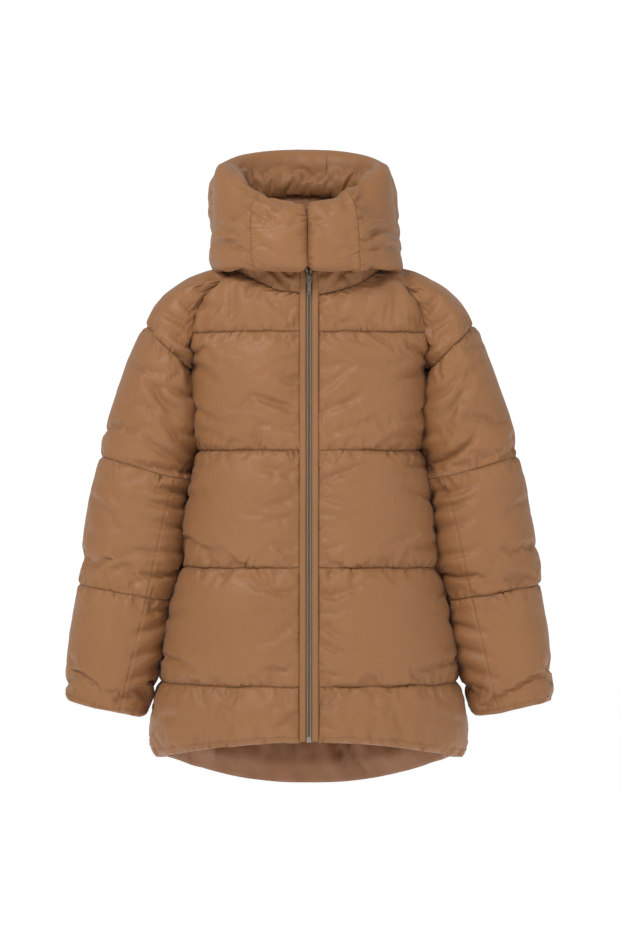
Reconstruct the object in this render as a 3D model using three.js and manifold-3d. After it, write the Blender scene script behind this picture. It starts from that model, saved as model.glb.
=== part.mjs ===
// A quilted, padded winter coat with raglan sleeves, a two-way shaped hem and a thick turned-over collar.
// It stands as if worn. Every quilted channel, lining panel and zip piece is a solid of its own.
// Millimetres. +Z is up, -Y is the front, +X is the wearer's left. The origin is where a hook bears on
// the underside of the hang loop, inside the back of the neck.
import * as THREE from "three";
import { mergeVertices } from "three/addons/utils/BufferGeometryUtils.js";
import Module from "manifold-3d";

const wasm = await Module();
wasm.setup();

// ---------- driving dimensions ----------

// Seam rings round the body, from the neck seam down. Each has its height at the front, side and back.
const NECK = { halfWidth: 112, front: -55, side: -12, back: -12, yBack: 16 };
const YOKE = { halfWidth: 200, front: -110, side: -110, back: -110, yBack: 72 };
const ARMPIT = { halfWidth: 176, front: -158, side: -158, back: -158, yBack: 86 };
const CHEST = { halfWidth: 168, front: -289, side: -289, back: -289, yBack: 92 };
const WAIST = { halfWidth: 194, front: -465, side: -467, back: -467, yBack: 96 };
const HIP = { halfWidth: 224, front: -642, side: -642, back: -642, yBack: 104 };
const HEM = { halfWidth: 236, front: -724, side: -757, back: -814, yBack: 112 };
const RINGS = [NECK, YOKE, ARMPIT, CHEST, WAIST, HIP, HEM];
const NECK_Y = -160; // the front edge at the neck seam
const FRONT_SLOPE = 0.083; // how far the straight front edge comes forward for each millimetre down
const SQUARENESS = 2.3; // 2 is an ellipse, and more is boxier

// Sleeve rings: outer and inner points in the XZ plane, half depth, and the Y of the middle.
const SLEEVE = [
  { outer: [248, -99], inner: [186, -165], depth: 82, y: -42 },
  { outer: [317, -298], inner: [194, -334], depth: 76, y: -45 },
  { outer: [350, -494], inner: [214, -518], depth: 70, y: -52 },
  { outer: [369, -670], inner: [255, -695], depth: 58, y: -60 },
];
const RAGLAN_NECK = 58; // degrees from the front centre to the raglan seam at the neck
const RAGLAN_YOKE = 60; // the same at the yoke seam
const SIDE = 90; // the side seam, and the armpit
const BACK = 180;

// The collar: a fall that rolls over an inner stand.
const COLLAR = { halfWidth: 145, yFront: -200, yBack: 50 };
const FALL_EDGE = { front: -13, side: -7, back: 2 };
const RIM = { front: 78, side: 148, back: 186 };
const FALL_SEAM = 30; // degrees from the front centre to the collar's panel seam
const STAND_INSET = 35; // from the collar's outside to the middle of the stand
const STAND_TOP = 0.66; // share of the collar's height

// Padding
const EDGE = 3; // thickness along a stitched seam
const BODY_PUFF = { out: 12, inn: 7 };
const SLEEVE_PUFF = { out: 8, inn: 5.5 };
const COLLAR_PUFF = { out: 7, inn: 7 };
const SEAM_GAP = 0.4;
const LINING = { depth: 12, thickness: 1.2 };
const SLEEVE_LINING = { depth: 9.5, thickness: 1.2 };

// The front opening
const PANEL_X = 14; // from the centre to a front panel's edge
const WELT = { inner: 4.9, outer: 13.4, front: -3.8, back: -0.9 };
const SLIDER_REST_Z = -32;
const ZIP_BOTTOM = -694; // along the zip, from the slider at rest
const BOX_HEIGHT = 8;
const PART_HEIGHT = 17; // where the open top of the chain ends
const PARTING = 3.6; // how far each side has moved apart there
const TEETH = { inner: 0.65, outer: 2.6, half: 1.6 };
const TAPE = { inner: 2.9, outer: 13.4, half: 0.5 };
const FLAP = { half: 13, front: 4.4, back: 7, top: 60 };

// ---------- materials ----------

const shellFabric = { color: 0x9c6e49, roughness: 0.55, metalness: 0 };
const liningFabric = { color: 0x8d6242, roughness: 0.6, metalness: 0 };
const tapeFabric = { color: 0x8a5f3f, roughness: 0.8, metalness: 0 };
const zipMetal = { color: 0x8f8880, roughness: 0.35, metalness: 1 };
const labelFabric = { color: 0x5c4634, roughness: 0.85, metalness: 0 };

const coat = new THREE.Group();

function add(name, geometry, finish, parent = coat) {
  const mesh = new THREE.Mesh(geometry, new THREE.MeshStandardMaterial(finish));
  mesh.name = name;
  parent.add(mesh);
  return mesh;
}

// ---------- small helpers ----------

const radians = THREE.MathUtils.degToRad;
const lerp = THREE.MathUtils.lerp;
const frontY = (z) => NECK_Y - FRONT_SLOPE * (NECK.front - z);
const range = (count) => Array.from({ length: count + 1 }, (_, i) => i / count);
const power = (value, exponent) => Math.sign(value) * Math.abs(value) ** exponent;

// A ring's height at an angle: its front, side and back heights, blended smoothly.
function heightAt(ring, angle) {
  const c = Math.cos(radians(angle));
  return lerp(ring.side, c > 0 ? ring.front : ring.back, c * c);
}

// A point of a rounded box outline. Angle 0 is the front centre and 90 the wearer's left.
function outline(halfWidth, yFront, yBack, angle, z) {
  const s = power(Math.sin(radians(angle)), 2 / SQUARENESS);
  const c = power(Math.cos(radians(angle)), 2 / SQUARENESS);
  return new THREE.Vector3(halfWidth * s, (yFront + yBack) / 2 - ((yBack - yFront) / 2) * c, z);
}

// The angle at which such an outline is x away from the centre.
const angleAt = (x, halfWidth) => THREE.MathUtils.radToDeg(Math.asin((x / halfWidth) ** (SQUARENESS / 2)));

// ---------- the body's surface ----------

// Level 0 is the neck seam, and each whole number is the next ring down.
function bodyRing(level) {
  const i = Math.min(Math.floor(level), RINGS.length - 2);
  const t = level - i;
  const [a, b] = [RINGS[i], RINGS[i + 1]];
  // From the neck to the yoke the body rounds over, flat at the neck and upright at the yoke.
  const across = i === 0 ? Math.sin((t * Math.PI) / 2) : t;
  const down = i === 0 ? 1 - Math.cos((t * Math.PI) / 2) : t;
  return {
    halfWidth: lerp(a.halfWidth, b.halfWidth, across),
    yBack: lerp(a.yBack, b.yBack, across),
    front: lerp(a.front, b.front, down),
    side: lerp(a.side, b.side, down),
    back: lerp(a.back, b.back, down),
  };
}

function bodyPoint(level, angle) {
  const ring = bodyRing(level);
  return outline(ring.halfWidth, frontY(ring.front), ring.yBack, angle, heightAt(ring, angle));
}

// The raglan seam's angle from the front centre: it reaches the side at the armpit.
const raglanAngle = (level) =>
  level < 1 ? lerp(RAGLAN_NECK, RAGLAN_YOKE, level) : level < 2 ? lerp(RAGLAN_YOKE, SIDE, level - 1) : SIDE;
const zipAngle = (level) => angleAt(PANEL_X, bodyRing(level).halfWidth);
// Panels keep a little clear of the shoulder along the raglan seam.
const panelEnd = (level) => raglanAngle(level) - Math.max(0, 1 - level / 2);
const backStart = (level) => BACK - panelEnd(level);
const backEnd = (level) => BACK + panelEnd(level);

// ---------- solids from surfaces ----------

// Joins two grids of points, [row][column], into one closed body. A looped grid closes on itself sideways.
function closedShell(outer, inner, looped) {
  const rows = outer.length;
  const columns = outer[0].length;
  const positions = [...outer, ...inner].flat().flatMap((p) => [p.x, p.y, p.z]);
  const at = (side, row, column) => (side * rows + row) * columns + (column % columns);
  const faces = [];
  const quad = (a, b, c, d) => faces.push(a, b, c, a, c, d);
  const spans = looped ? columns : columns - 1;
  for (let r = 0; r < rows - 1; r += 1) {
    for (let c = 0; c < spans; c += 1) {
      quad(at(0, r, c), at(0, r + 1, c), at(0, r + 1, c + 1), at(0, r, c + 1));
      quad(at(1, r, c), at(1, r, c + 1), at(1, r + 1, c + 1), at(1, r + 1, c));
    }
  }
  for (let c = 0; c < spans; c += 1) {
    quad(at(0, 0, c), at(0, 0, c + 1), at(1, 0, c + 1), at(1, 0, c));
    quad(at(0, rows - 1, c), at(1, rows - 1, c), at(1, rows - 1, c + 1), at(0, rows - 1, c + 1));
  }
  if (!looped) {
    for (let r = 0; r < rows - 1; r += 1) {
      quad(at(0, r, 0), at(1, r, 0), at(1, r + 1, 0), at(0, r + 1, 0));
      quad(at(0, r, spans), at(0, r + 1, spans), at(1, r + 1, spans), at(1, r, spans));
    }
  }
  return new THREE.BufferGeometry()
    .setAttribute("position", new THREE.Float32BufferAttribute(positions, 3))
    .setIndex(faces);
}

// A panel over a surface. The offsets are distances along the outward normal, for the outer and inner face.
// turn is 1 where columns run anticlockwise seen from above, and -1 where they run clockwise.
function panel(surface, us, vs, offsets, { looped = false, turn = 1 } = {}) {
  const columns = looped ? us.slice(0, -1) : us;
  const step = 1e-3;
  const within = (t) => Math.min(1, Math.max(0, t));
  const wrap = (t) => (looped ? (t + 1) % 1 : within(t));
  const normal = (u, v) => {
    const across = surface(wrap(u + step), v).sub(surface(wrap(u - step), v));
    const down = surface(u, within(v + step)).sub(surface(u, within(v - step)));
    return down.cross(across).multiplyScalar(turn).normalize();
  };
  const face = (offset) =>
    vs.map((v) => columns.map((u) => surface(u, v).addScaledVector(normal(u, v), offset(u, v))));
  const outer = face(offsets.outer);
  const inner = face(offsets.inner);
  return turn > 0 ? closedShell(outer, inner, looped) : closedShell(inner, outer, looped);
}

// Puffed padding: full in the middle, and EDGE thick where it is stitched down.
function puffed({ out, inn }, looped) {
  const swell = (t) => Math.sin(Math.PI * t) ** 0.7;
  const crown = (u, v) => swell(v) * (looped ? 1 : Math.min(1, 0.05 + 1.3 * Math.sin(Math.PI * u)));
  return {
    outer: (u, v) => EDGE / 2 + out * crown(u, v),
    inner: (u, v) => -EDGE / 2 - inn * crown(u, v),
  };
}

// A thin sheet at a depth behind the surface.
const sheet = ({ depth, thickness }) => ({ outer: () => -depth, inner: () => -depth - thickness });

// The same solid on the other side of the coat.
function mirrored(geometry) {
  const copy = geometry.clone().scale(-1, 1, 1);
  const index = copy.index.array;
  for (let i = 0; i < index.length; i += 3) {
    [index[i + 1], index[i + 2]] = [index[i + 2], index[i + 1]];
  }
  return copy;
}

function addPair(name, geometry, finish, parent = coat) {
  add(`left_${name}`, geometry, finish, parent);
  add(`right_${name}`, mirrored(geometry), finish, parent);
}

// ---------- body panels ----------

// A panel between two rings of the body and two angles, kept clear of its neighbours by the seam gap.
function bodyPanel(levels, from, to, columns, offsets) {
  const gapTurn = (level) => THREE.MathUtils.radToDeg(SEAM_GAP / bodyRing(level).halfWidth);
  const trimmed = [...levels];
  const last = levels.length - 1;
  const share = (a, b) => SEAM_GAP / bodyPoint(a, SIDE / 2).distanceTo(bodyPoint(b, SIDE / 2));
  trimmed[0] += (levels[1] - levels[0]) * share(levels[0], levels[1]);
  trimmed[last] -= (levels[last] - levels[last - 1]) * share(levels[last - 1], levels[last]);
  // v counts rows evenly, so that the padding's crown follows the rows and not the ring numbers
  const heights = trimmed.map((level) => bodyPoint(level, 0).z);
  const vs = heights.map((z) => (heights[0] - z) / (heights[0] - heights[last]));
  const levelAt = (v) => {
    const i = Math.min(Math.max(vs.findIndex((x) => x > v) - 1, 0), last - 1);
    const row = v >= 1 ? last - 1 : i;
    return lerp(trimmed[row], trimmed[row + 1], (v - vs[row]) / (vs[row + 1] - vs[row]));
  };
  const surface = (u, v) => {
    const level = levelAt(v);
    return bodyPoint(level, lerp(from(level) + gapTurn(level), to(level) - gapTurn(level), u));
  };
  return panel(surface, range(columns), vs, offsets);
}

const YOKE_ROWS = 4;
const ARMHOLE_ROWS = 4;
const rows = (from, to, count) => range(count).map((t) => lerp(from, to, t));
const BAFFLES = {
  yoke: rows(0, 1, YOKE_ROWS),
  chest: [...rows(1, 2, ARMHOLE_ROWS), ...rows(2, 3, 3).slice(1)],
  waist: rows(3, 4, 4),
  hip: rows(4, 5, 4),
  hem: rows(5, 6, 3),
};
const QUARTER_COLUMNS = 7;
const BACK_COLUMNS = 14;
for (const [name, levels] of Object.entries(BAFFLES)) {
  const padding = puffed(BODY_PUFF, false);
  const front = bodyPanel(levels, zipAngle, panelEnd, QUARTER_COLUMNS, padding);
  addPair(`front_${name}_baffle`, front, shellFabric);
  add(`back_${name}_baffle`, bodyPanel(levels, backStart, backEnd, BACK_COLUMNS, padding), shellFabric);
}

const liningLevels = [...rows(0.15, 1, 2), ...rows(1, 2, 2).slice(1), ...rows(2, 6, 4).slice(1)];
const bodyLining = sheet(LINING);
addPair("front_lining", bodyPanel(liningLevels, zipAngle, panelEnd, QUARTER_COLUMNS, bodyLining), liningFabric);
add("back_lining", bodyPanel(liningLevels, backStart, backEnd, BACK_COLUMNS, bodyLining), liningFabric);

// ---------- sleeves ----------

const NECK_STEPS = 2;
const HALF_STEPS = NECK_STEPS + YOKE_ROWS + ARMHOLE_ROWS;
const AROUND = 2 * HALF_STEPS;

// The raglan seam as a loop: from the top of the shoulder, down the front to the armpit, and up the back.
function raglanPoint(u) {
  const s = u * AROUND;
  const behind = s > HALF_STEPS;
  const t = behind ? AROUND - s : s;
  const level = t < NECK_STEPS ? 0 : (t - NECK_STEPS) / YOKE_ROWS;
  const angle = t < NECK_STEPS ? lerp(SIDE, RAGLAN_NECK, t / NECK_STEPS) : raglanAngle(level);
  return bodyPoint(level, behind ? BACK - angle : angle);
}

// A sleeve ring, from its outer point round the front to its inner point and back.
function sleeveRing(index, u) {
  const { outer, inner, depth, y } = SLEEVE[index];
  const c = power(Math.cos(2 * Math.PI * u), 2 / SQUARENESS);
  const s = power(Math.sin(2 * Math.PI * u), 2 / SQUARENESS);
  const middle = [0, 1].map((k) => (outer[k] + inner[k]) / 2);
  return new THREE.Vector3(
    middle[0] + (outer[0] - middle[0]) * c,
    y - depth * s,
    middle[1] + (outer[1] - middle[1]) * c,
  );
}

// The shoulder meets the body and the upper arm at an angle, so it keeps a little further from them.
const SHOULDER_GAP = { body: 8, arm: 1.2 };
const SHOULDER_ROUNDNESS = 0.65; // 0 slopes straight down, and 1 is a quarter circle
const shoulderLength = (u) => raglanPoint(u).distanceTo(sleeveRing(0, u));
function shoulderPoint(u, v) {
  const a = raglanPoint(u);
  const b = sleeveRing(0, u);
  const length = shoulderLength(u);
  const t = lerp(SHOULDER_GAP.body / length, 1 - SHOULDER_GAP.arm / length, v) * (Math.PI / 2);
  const straight = t / (Math.PI / 2);
  return new THREE.Vector3(
    lerp(a.x, b.x, lerp(straight, Math.sin(t), SHOULDER_ROUNDNESS)),
    lerp(a.y, b.y, straight),
    lerp(a.z, b.z, lerp(straight, 1 - Math.cos(t), SHOULDER_ROUNDNESS)),
  );
}

const sleevePoint = (index, from, to) => (u, v) => {
  const a = sleeveRing(index, u);
  const b = sleeveRing(index + 1, u);
  return a.lerp(b, lerp(from, to, v));
};

const tube = { looped: true, turn: -1 };
const around = range(AROUND);
const padding = puffed(SLEEVE_PUFF, true);
const seamShare = (index) => SEAM_GAP / sleeveRing(index, 0).distanceTo(sleeveRing(index + 1, 0));
// under the arm the shoulder is only a narrow strip, and too short to puff up
const fullness = (u) => Math.min(1, shoulderLength(u) / 70) ** 1.5;
const shoulderPadding = {
  outer: (u, v) => lerp(EDGE / 2, padding.outer(u, v), fullness(u)),
  inner: (u, v) => lerp(-EDGE / 2, padding.inner(u, v), fullness(u)),
};
addPair("shoulder_baffle", panel(shoulderPoint, around, range(4), shoulderPadding, tube), shellFabric);
["upper_arm", "forearm", "cuff"].forEach((name, index) => {
  const gap = seamShare(index);
  const surface = sleevePoint(index, gap, 1 - gap);
  addPair(`${name}_baffle`, panel(surface, around, range(4), padding, tube), shellFabric);
});

const sleeveLining = sheet(SLEEVE_LINING);
const LINING_END = 0.86; // where the sleeve lining stops and the knitted band starts
addPair("shoulder_lining", panel(shoulderPoint, around, rows(0.42, 0.9, 3), sleeveLining, tube), liningFabric);
addPair("upper_arm_lining", panel(sleevePoint(0, 0.06, 0.96), around, range(1), sleeveLining, tube), liningFabric);
function forearmPoint(u, v) {
  const a = sleeveRing(1, u);
  const b = sleeveRing(2, u);
  const c = sleeveRing(3, u);
  const t = lerp(0.04, 1 + LINING_END, v);
  return t < 1 ? a.lerp(b, t) : b.lerp(c, t - 1);
}
addPair("forearm_lining", panel(forearmPoint, around, [0, 0.96 / (0.96 + LINING_END), 1], sleeveLining, tube), liningFabric);
const band = sheet({ depth: 9, thickness: 2 });
addPair("cuff_band", panel(sleevePoint(2, LINING_END + 0.01, 0.99), around, range(1), band, tube), tapeFabric);

// ---------- collar ----------

// A point of the collar, inset from its outside, at a share of its height.
function collarPoint(angle, inset, share) {
  const z = lerp(heightAt(FALL_EDGE, angle), heightAt(RIM, angle), share);
  const { halfWidth, yFront, yBack } = COLLAR;
  return outline(halfWidth - inset, yFront + inset, yBack - inset, angle, z);
}

// The fall's section as [inset, share of height]: up the outside, over the rim and back down inside.
const FALL_SECTION = [
  [8, -0.02],
  [2, 0.06],
  [0, 0.3],
  [0, 0.6],
  [3, 0.82],
  [11, 0.95],
  [23, 1],
  [36, 0.96],
  [44, 0.87],
  [44, 0.77],
  [36, 0.71],
  [24, 0.7],
  [21, 0.35],
  [16, 0.02],
];

// A section carried round the collar from one angle to another, with flat ends.
function collarSweep(section, angles) {
  const count = section.length;
  const positions = angles.flatMap((angle) => section.flatMap(([inset, share]) => collarPoint(angle, inset, share).toArray()));
  const faces = [];
  for (let a = 0; a < angles.length - 1; a += 1) {
    for (let i = 0; i < count; i += 1) {
      const j = (i + 1) % count;
      const [p, q, r, s] = [a * count + i, a * count + j, (a + 1) * count + j, (a + 1) * count + i];
      faces.push(p, r, q, p, s, r);
    }
  }
  const flat = section.map(([inset, share]) => new THREE.Vector2(-inset, 100 * share));
  const end = (angles.length - 1) * count;
  for (const [a, b, c] of THREE.ShapeUtils.triangulateShape(flat, [])) {
    faces.push(a, b, c);
    faces.push(end + a, end + c, end + b);
  }
  return new THREE.BufferGeometry()
    .setAttribute("position", new THREE.Float32BufferAttribute(positions, 3))
    .setIndex(faces);
}

const SLIT = 0.5; // half the front slit, in degrees
const SEAM_TURN = 0.2; // half a collar seam, in degrees
addPair("collar_front_fall", collarSweep(FALL_SECTION, rows(SLIT, FALL_SEAM - SEAM_TURN, 3)), shellFabric);
addPair("collar_side_fall", collarSweep(FALL_SECTION, rows(FALL_SEAM + SEAM_TURN, BACK - SEAM_TURN, 12)), shellFabric);

const STAND_LIFT = 5; // the stand's lower edge, above the neck seam
function standPoint(u, v) {
  const from = angleAt(PANEL_X, NECK.halfWidth) + SEAM_TURN;
  const angle = lerp(from, BACK - SEAM_TURN, u);
  const top = collarPoint(angle, STAND_INSET, STAND_TOP);
  const bottom = bodyPoint(0, angle);
  bottom.z += STAND_LIFT;
  return top.lerp(bottom, v);
}
addPair("collar_stand", panel(standPoint, range(14), range(3), puffed(COLLAR_PUFF, false)), shellFabric);

// ---------- front zip ----------

// The zip lies in a straight leaning line, so its pieces are built upright in a group that leans.
const zip = new THREE.Group();
zip.rotation.x = -Math.atan(FRONT_SLOPE);
zip.position.set(0, frontY(SLIDER_REST_Z), SLIDER_REST_Z);
coat.add(zip);

// A flat plate from an outline in X and Z, between two depths.
function plate(points, yFront, yBack) {
  const shape = new THREE.Shape(points.map(([x, z]) => new THREE.Vector2(x, z)));
  const geometry = new THREE.ExtrudeGeometry(shape, { depth: yBack - yFront, bevelEnabled: false });
  return indexed(geometry.rotateX(Math.PI / 2).translate(0, yBack, 0));
}

// A bar with a section in X and Y, between two heights.
function bar(points, bottom, top) {
  const shape = new THREE.Shape(points.map(([x, y]) => new THREE.Vector2(x, y)));
  const geometry = new THREE.ExtrudeGeometry(shape, { depth: top - bottom, bevelEnabled: false });
  return indexed(geometry.translate(0, 0, bottom));
}

function indexed(geometry) {
  geometry.deleteAttribute("normal");
  geometry.deleteAttribute("uv");
  return mergeVertices(geometry, 1e-4);
}

const box = (x0, x1, y0, y1, z0, z1) =>
  indexed(new THREE.BoxGeometry(x1 - x0, y1 - y0, z1 - z0).translate((x0 + x1) / 2, (y0 + y1) / 2, (z0 + z1) / 2));

function solid(geometry) {
  const vertProperties = new Float32Array(geometry.attributes.position.array);
  return new wasm.Manifold(new wasm.Mesh({ numProp: 3, vertProperties, triVerts: new Uint32Array(geometry.index.array) }));
}

function meshOf(manifold) {
  const made = manifold.getMesh();
  return new THREE.BufferGeometry()
    .setAttribute("position", new THREE.BufferAttribute(made.vertProperties, 3))
    .setIndex(new THREE.BufferAttribute(made.triVerts, 1));
}

const PARTING_START = 8; // just above the slider
const boxTop = ZIP_BOTTOM + BOX_HEIGHT;
const teethOutline = (bottom) => [
  [TEETH.inner, bottom],
  [TEETH.outer, bottom],
  [TEETH.outer, PARTING_START],
  [TEETH.outer + PARTING, PART_HEIGHT],
  [TEETH.inner + PARTING, PART_HEIGHT],
  [TEETH.inner, PARTING_START],
];
const tapeOutline = [
  [TAPE.inner, ZIP_BOTTOM],
  [TAPE.outer, ZIP_BOTTOM],
  [TAPE.outer, PART_HEIGHT + 4],
  [TAPE.inner + PARTING, PART_HEIGHT + 4],
  [TAPE.inner + PARTING, PART_HEIGHT],
  [TAPE.inner, PARTING_START],
];
const PIN_TOP = boxTop + 10;
add("left_zip_teeth", plate(teethOutline(boxTop + 0.4), -TEETH.half, TEETH.half), zipMetal, zip);
add("right_zip_teeth", mirrored(plate(teethOutline(PIN_TOP + 0.4), -TEETH.half, TEETH.half)), zipMetal, zip);
// the tapes are cut back round the box at the bottom
const tapeSolid = solid(plate(tapeOutline, -TAPE.half, TAPE.half)).subtract(
  solid(box(0, 4, -3, 3, ZIP_BOTTOM - 1, boxTop + 0.4)),
);
addPair("zip_tape", meshOf(tapeSolid), tapeFabric, zip);

const STOP = 1.6;
const stop = box(
  TEETH.inner + PARTING,
  TEETH.outer + PARTING,
  -TEETH.half,
  TEETH.half,
  PART_HEIGHT + 0.3,
  PART_HEIGHT + 0.3 + STOP,
);
stop.translate(-0.3, 0, 0);
addPair("zip_top_stop", stop, zipMetal, zip);

const retainer = solid(box(-3.4, 3.4, -1.9, 1.9, ZIP_BOTTOM, boxTop)).subtract(
  solid(box(-2.8, -0.5, -1.1, 1.1, ZIP_BOTTOM + 1, boxTop + 1)),
);
add("zip_retainer_box", meshOf(retainer), zipMetal, zip);
add("zip_insertion_pin", box(-2.4, -0.9, -0.7, 0.7, ZIP_BOTTOM + 1.4, PIN_TOP), zipMetal, zip);

// The slider: two plates held by a thin web between the rows of teeth, side flanges, and a bail.
const PLATE = { top: 6.5, bottom: -6.5, wide: 4.3, narrow: 3.7, near: 2, far: 3.3 };
const plateOutline = [
  [-PLATE.narrow, PLATE.bottom + 1],
  [-PLATE.narrow + 1, PLATE.bottom],
  [PLATE.narrow - 1, PLATE.bottom],
  [PLATE.narrow, PLATE.bottom + 1],
  [PLATE.wide, PLATE.top - 2.5],
  [PLATE.wide - 1.2, PLATE.top - 0.6],
  [PLATE.wide - 2.8, PLATE.top],
  [-PLATE.wide + 2.8, PLATE.top],
  [-PLATE.wide + 1.2, PLATE.top - 0.6],
  [-PLATE.wide, PLATE.top - 2.5],
];
const FLANGE = { inner: 3.1, outer: 3.7, near: 0.9 };
const BAIL = { half: 0.8, front: -6.6, gap: -5.7, top: 4.6, bottom: -2.4, leg: 1 };
const overlap = 0.2; // joined pieces share this much, so that they fuse
let slider = solid(plate(plateOutline, -PLATE.far, -PLATE.near))
  .add(solid(plate(plateOutline, PLATE.near, PLATE.far)))
  .add(solid(box(-0.35, 0.35, -PLATE.near - overlap, PLATE.near + overlap, 1.5, 5.5)));
for (const side of [-1, 1]) {
  for (const face of [-1, 1]) {
    const xs = [side * FLANGE.inner, side * FLANGE.outer].sort((a, b) => a - b);
    const ys = [face * FLANGE.near, face * (PLATE.near + overlap)].sort((a, b) => a - b);
    slider = slider.add(solid(box(...xs, ...ys, PLATE.bottom + 1, PLATE.top - 2.5)));
  }
}
const bail = solid(box(-BAIL.half, BAIL.half, BAIL.front, -PLATE.far + overlap, BAIL.bottom, BAIL.top)).subtract(
  solid(box(-2, 2, BAIL.gap, -PLATE.far, BAIL.bottom + BAIL.leg, BAIL.top - BAIL.leg)),
);
add("zip_slider", meshOf(slider.add(bail)), zipMetal, zip);

// The puller hangs from a crossbar inside the bail and swings about it.
const HINGE = { y: -4.5, z: 0.8 };
const PULLER = { half: 3, thickness: 1.4, length: 24, tip: 2.1, holeHalf: 1.5, holeEnd: 5.6, crossbar: 0.7 };
const pullerOutline = [
  [-PULLER.half, 0.7],
  [-PULLER.half, -6.5],
  [-PULLER.tip, -9],
  [-PULLER.half + 0.3, -PULLER.length + 3],
  [-PULLER.tip, -PULLER.length],
  [PULLER.tip, -PULLER.length],
  [PULLER.half - 0.3, -PULLER.length + 3],
  [PULLER.tip, -9],
  [PULLER.half, -6.5],
  [PULLER.half, 0.7],
];
const eye = new THREE.CylinderGeometry(1.2, 1.2, 4, 12).translate(0, 0, -PULLER.length + 4);
const puller = solid(plate(pullerOutline, -PULLER.thickness / 2, PULLER.thickness / 2))
  .subtract(solid(box(-PULLER.holeHalf, PULLER.holeHalf, -2, 2, -PULLER.holeEnd, -PULLER.crossbar)))
  .subtract(solid(indexed(eye)));
add("zip_puller", meshOf(puller).translate(0, HINGE.y, HINGE.z), zipMetal, zip);

// Folded fabric edges on both sides of the teeth, and a flap behind them.
const WELT_TOP = -26;
const weltSection = [
  [WELT.inner, WELT.back],
  [WELT.inner + 0.3, WELT.front + 0.8],
  [WELT.inner + 1.6, WELT.front],
  [WELT.outer - 2, WELT.front + 0.3],
  [WELT.outer, WELT.front + 1.4],
  [WELT.outer, WELT.back],
];
addPair("zip_welt", bar(weltSection.reverse(), ZIP_BOTTOM, WELT_TOP), shellFabric, zip);
add("wind_flap", box(-FLAP.half, FLAP.half, FLAP.front, FLAP.back, ZIP_BOTTOM + 4, FLAP.top), liningFabric, zip);

// ---------- hang loop, neck tape and blank label ----------

const LOOP = { radius: 26, thickness: 1.6, half: 3, leg: 12, steps: 8 };
const LOOP_CROWN = 15; // height of the arch above its legs
const arch = (radius, rise) =>
  rows(0, Math.PI, LOOP.steps).map((a) => [radius * Math.cos(a), -LOOP_CROWN + rise * Math.sin(a)]);
const loopOutline = [
  [LOOP.radius + LOOP.thickness, -LOOP_CROWN - LOOP.leg],
  ...arch(LOOP.radius + LOOP.thickness, LOOP_CROWN + LOOP.thickness),
  [-LOOP.radius - LOOP.thickness, -LOOP_CROWN - LOOP.leg],
  [-LOOP.radius, -LOOP_CROWN - LOOP.leg],
  ...arch(LOOP.radius, LOOP_CROWN).reverse(),
  [LOOP.radius, -LOOP_CROWN - LOOP.leg],
];
add("hang_loop", plate(loopOutline, -LOOP.half, LOOP.half), tapeFabric);
add("neck_tape", box(-42, 42, 3.4, 5.2, -27, -15), tapeFabric);
add("blank_label", box(-24, 24, 3.4, 4.4, -52, -27.4), labelFabric);

export default coat;
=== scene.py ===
# %% [markdown]
# # A quilted puffer coat
# The coat is a set of padded channels sewn side by side. The engineering model fixes where every seam
# runs and what moves, so the first step is always to load it. Everything after that is made round it, in
# metres.

# %% Load the engineering model
import math
from functools import partial

import bmesh
import bpy
import numpy as np
from mathutils import Matrix, Vector, noise


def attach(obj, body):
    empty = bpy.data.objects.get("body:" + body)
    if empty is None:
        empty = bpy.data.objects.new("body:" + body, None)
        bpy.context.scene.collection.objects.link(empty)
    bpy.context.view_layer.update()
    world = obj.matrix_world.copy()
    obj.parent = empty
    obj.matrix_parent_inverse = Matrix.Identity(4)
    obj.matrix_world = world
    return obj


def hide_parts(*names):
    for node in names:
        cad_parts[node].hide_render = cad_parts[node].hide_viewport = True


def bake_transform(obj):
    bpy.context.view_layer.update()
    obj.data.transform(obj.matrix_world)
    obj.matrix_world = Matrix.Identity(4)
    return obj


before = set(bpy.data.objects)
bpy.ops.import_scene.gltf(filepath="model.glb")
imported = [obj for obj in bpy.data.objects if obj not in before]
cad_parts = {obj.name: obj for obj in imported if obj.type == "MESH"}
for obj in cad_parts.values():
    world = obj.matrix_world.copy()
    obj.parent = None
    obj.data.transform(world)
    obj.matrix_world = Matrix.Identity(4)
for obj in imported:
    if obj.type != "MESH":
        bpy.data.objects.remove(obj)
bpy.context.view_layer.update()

# %% [markdown]
# ## Camera
# A long lens far away keeps both sleeves the same size, as in a catalogue picture. The camera is level
# with the middle of the coat, so the underside of the front hem hides nothing of the longer back.

# %% Camera
camera = bpy.data.objects.new("camera", bpy.data.cameras.new("camera"))
bpy.context.scene.collection.objects.link(camera)
bpy.context.scene.camera = camera
camera.data.lens = 126.5
camera.data.sensor_width = 36
camera.location = (0.0015, -5.075, -0.311)
camera.rotation_euler = (math.radians(90), 0, 0)
camera.data.clip_end = 30
bpy.context.scene.view_settings.view_transform = "Standard"

# %% [markdown]
# ## The seam rings
# A coat is easiest to describe by the rings in which its quilting seams lie. Each ring has a half width,
# a height at the front, side and back, and a depth at the back. The front edge is one straight line,
# because a zip is stiff, and every ring starts on it. Points between two rings are found by sliding from
# one to the other.

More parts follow.
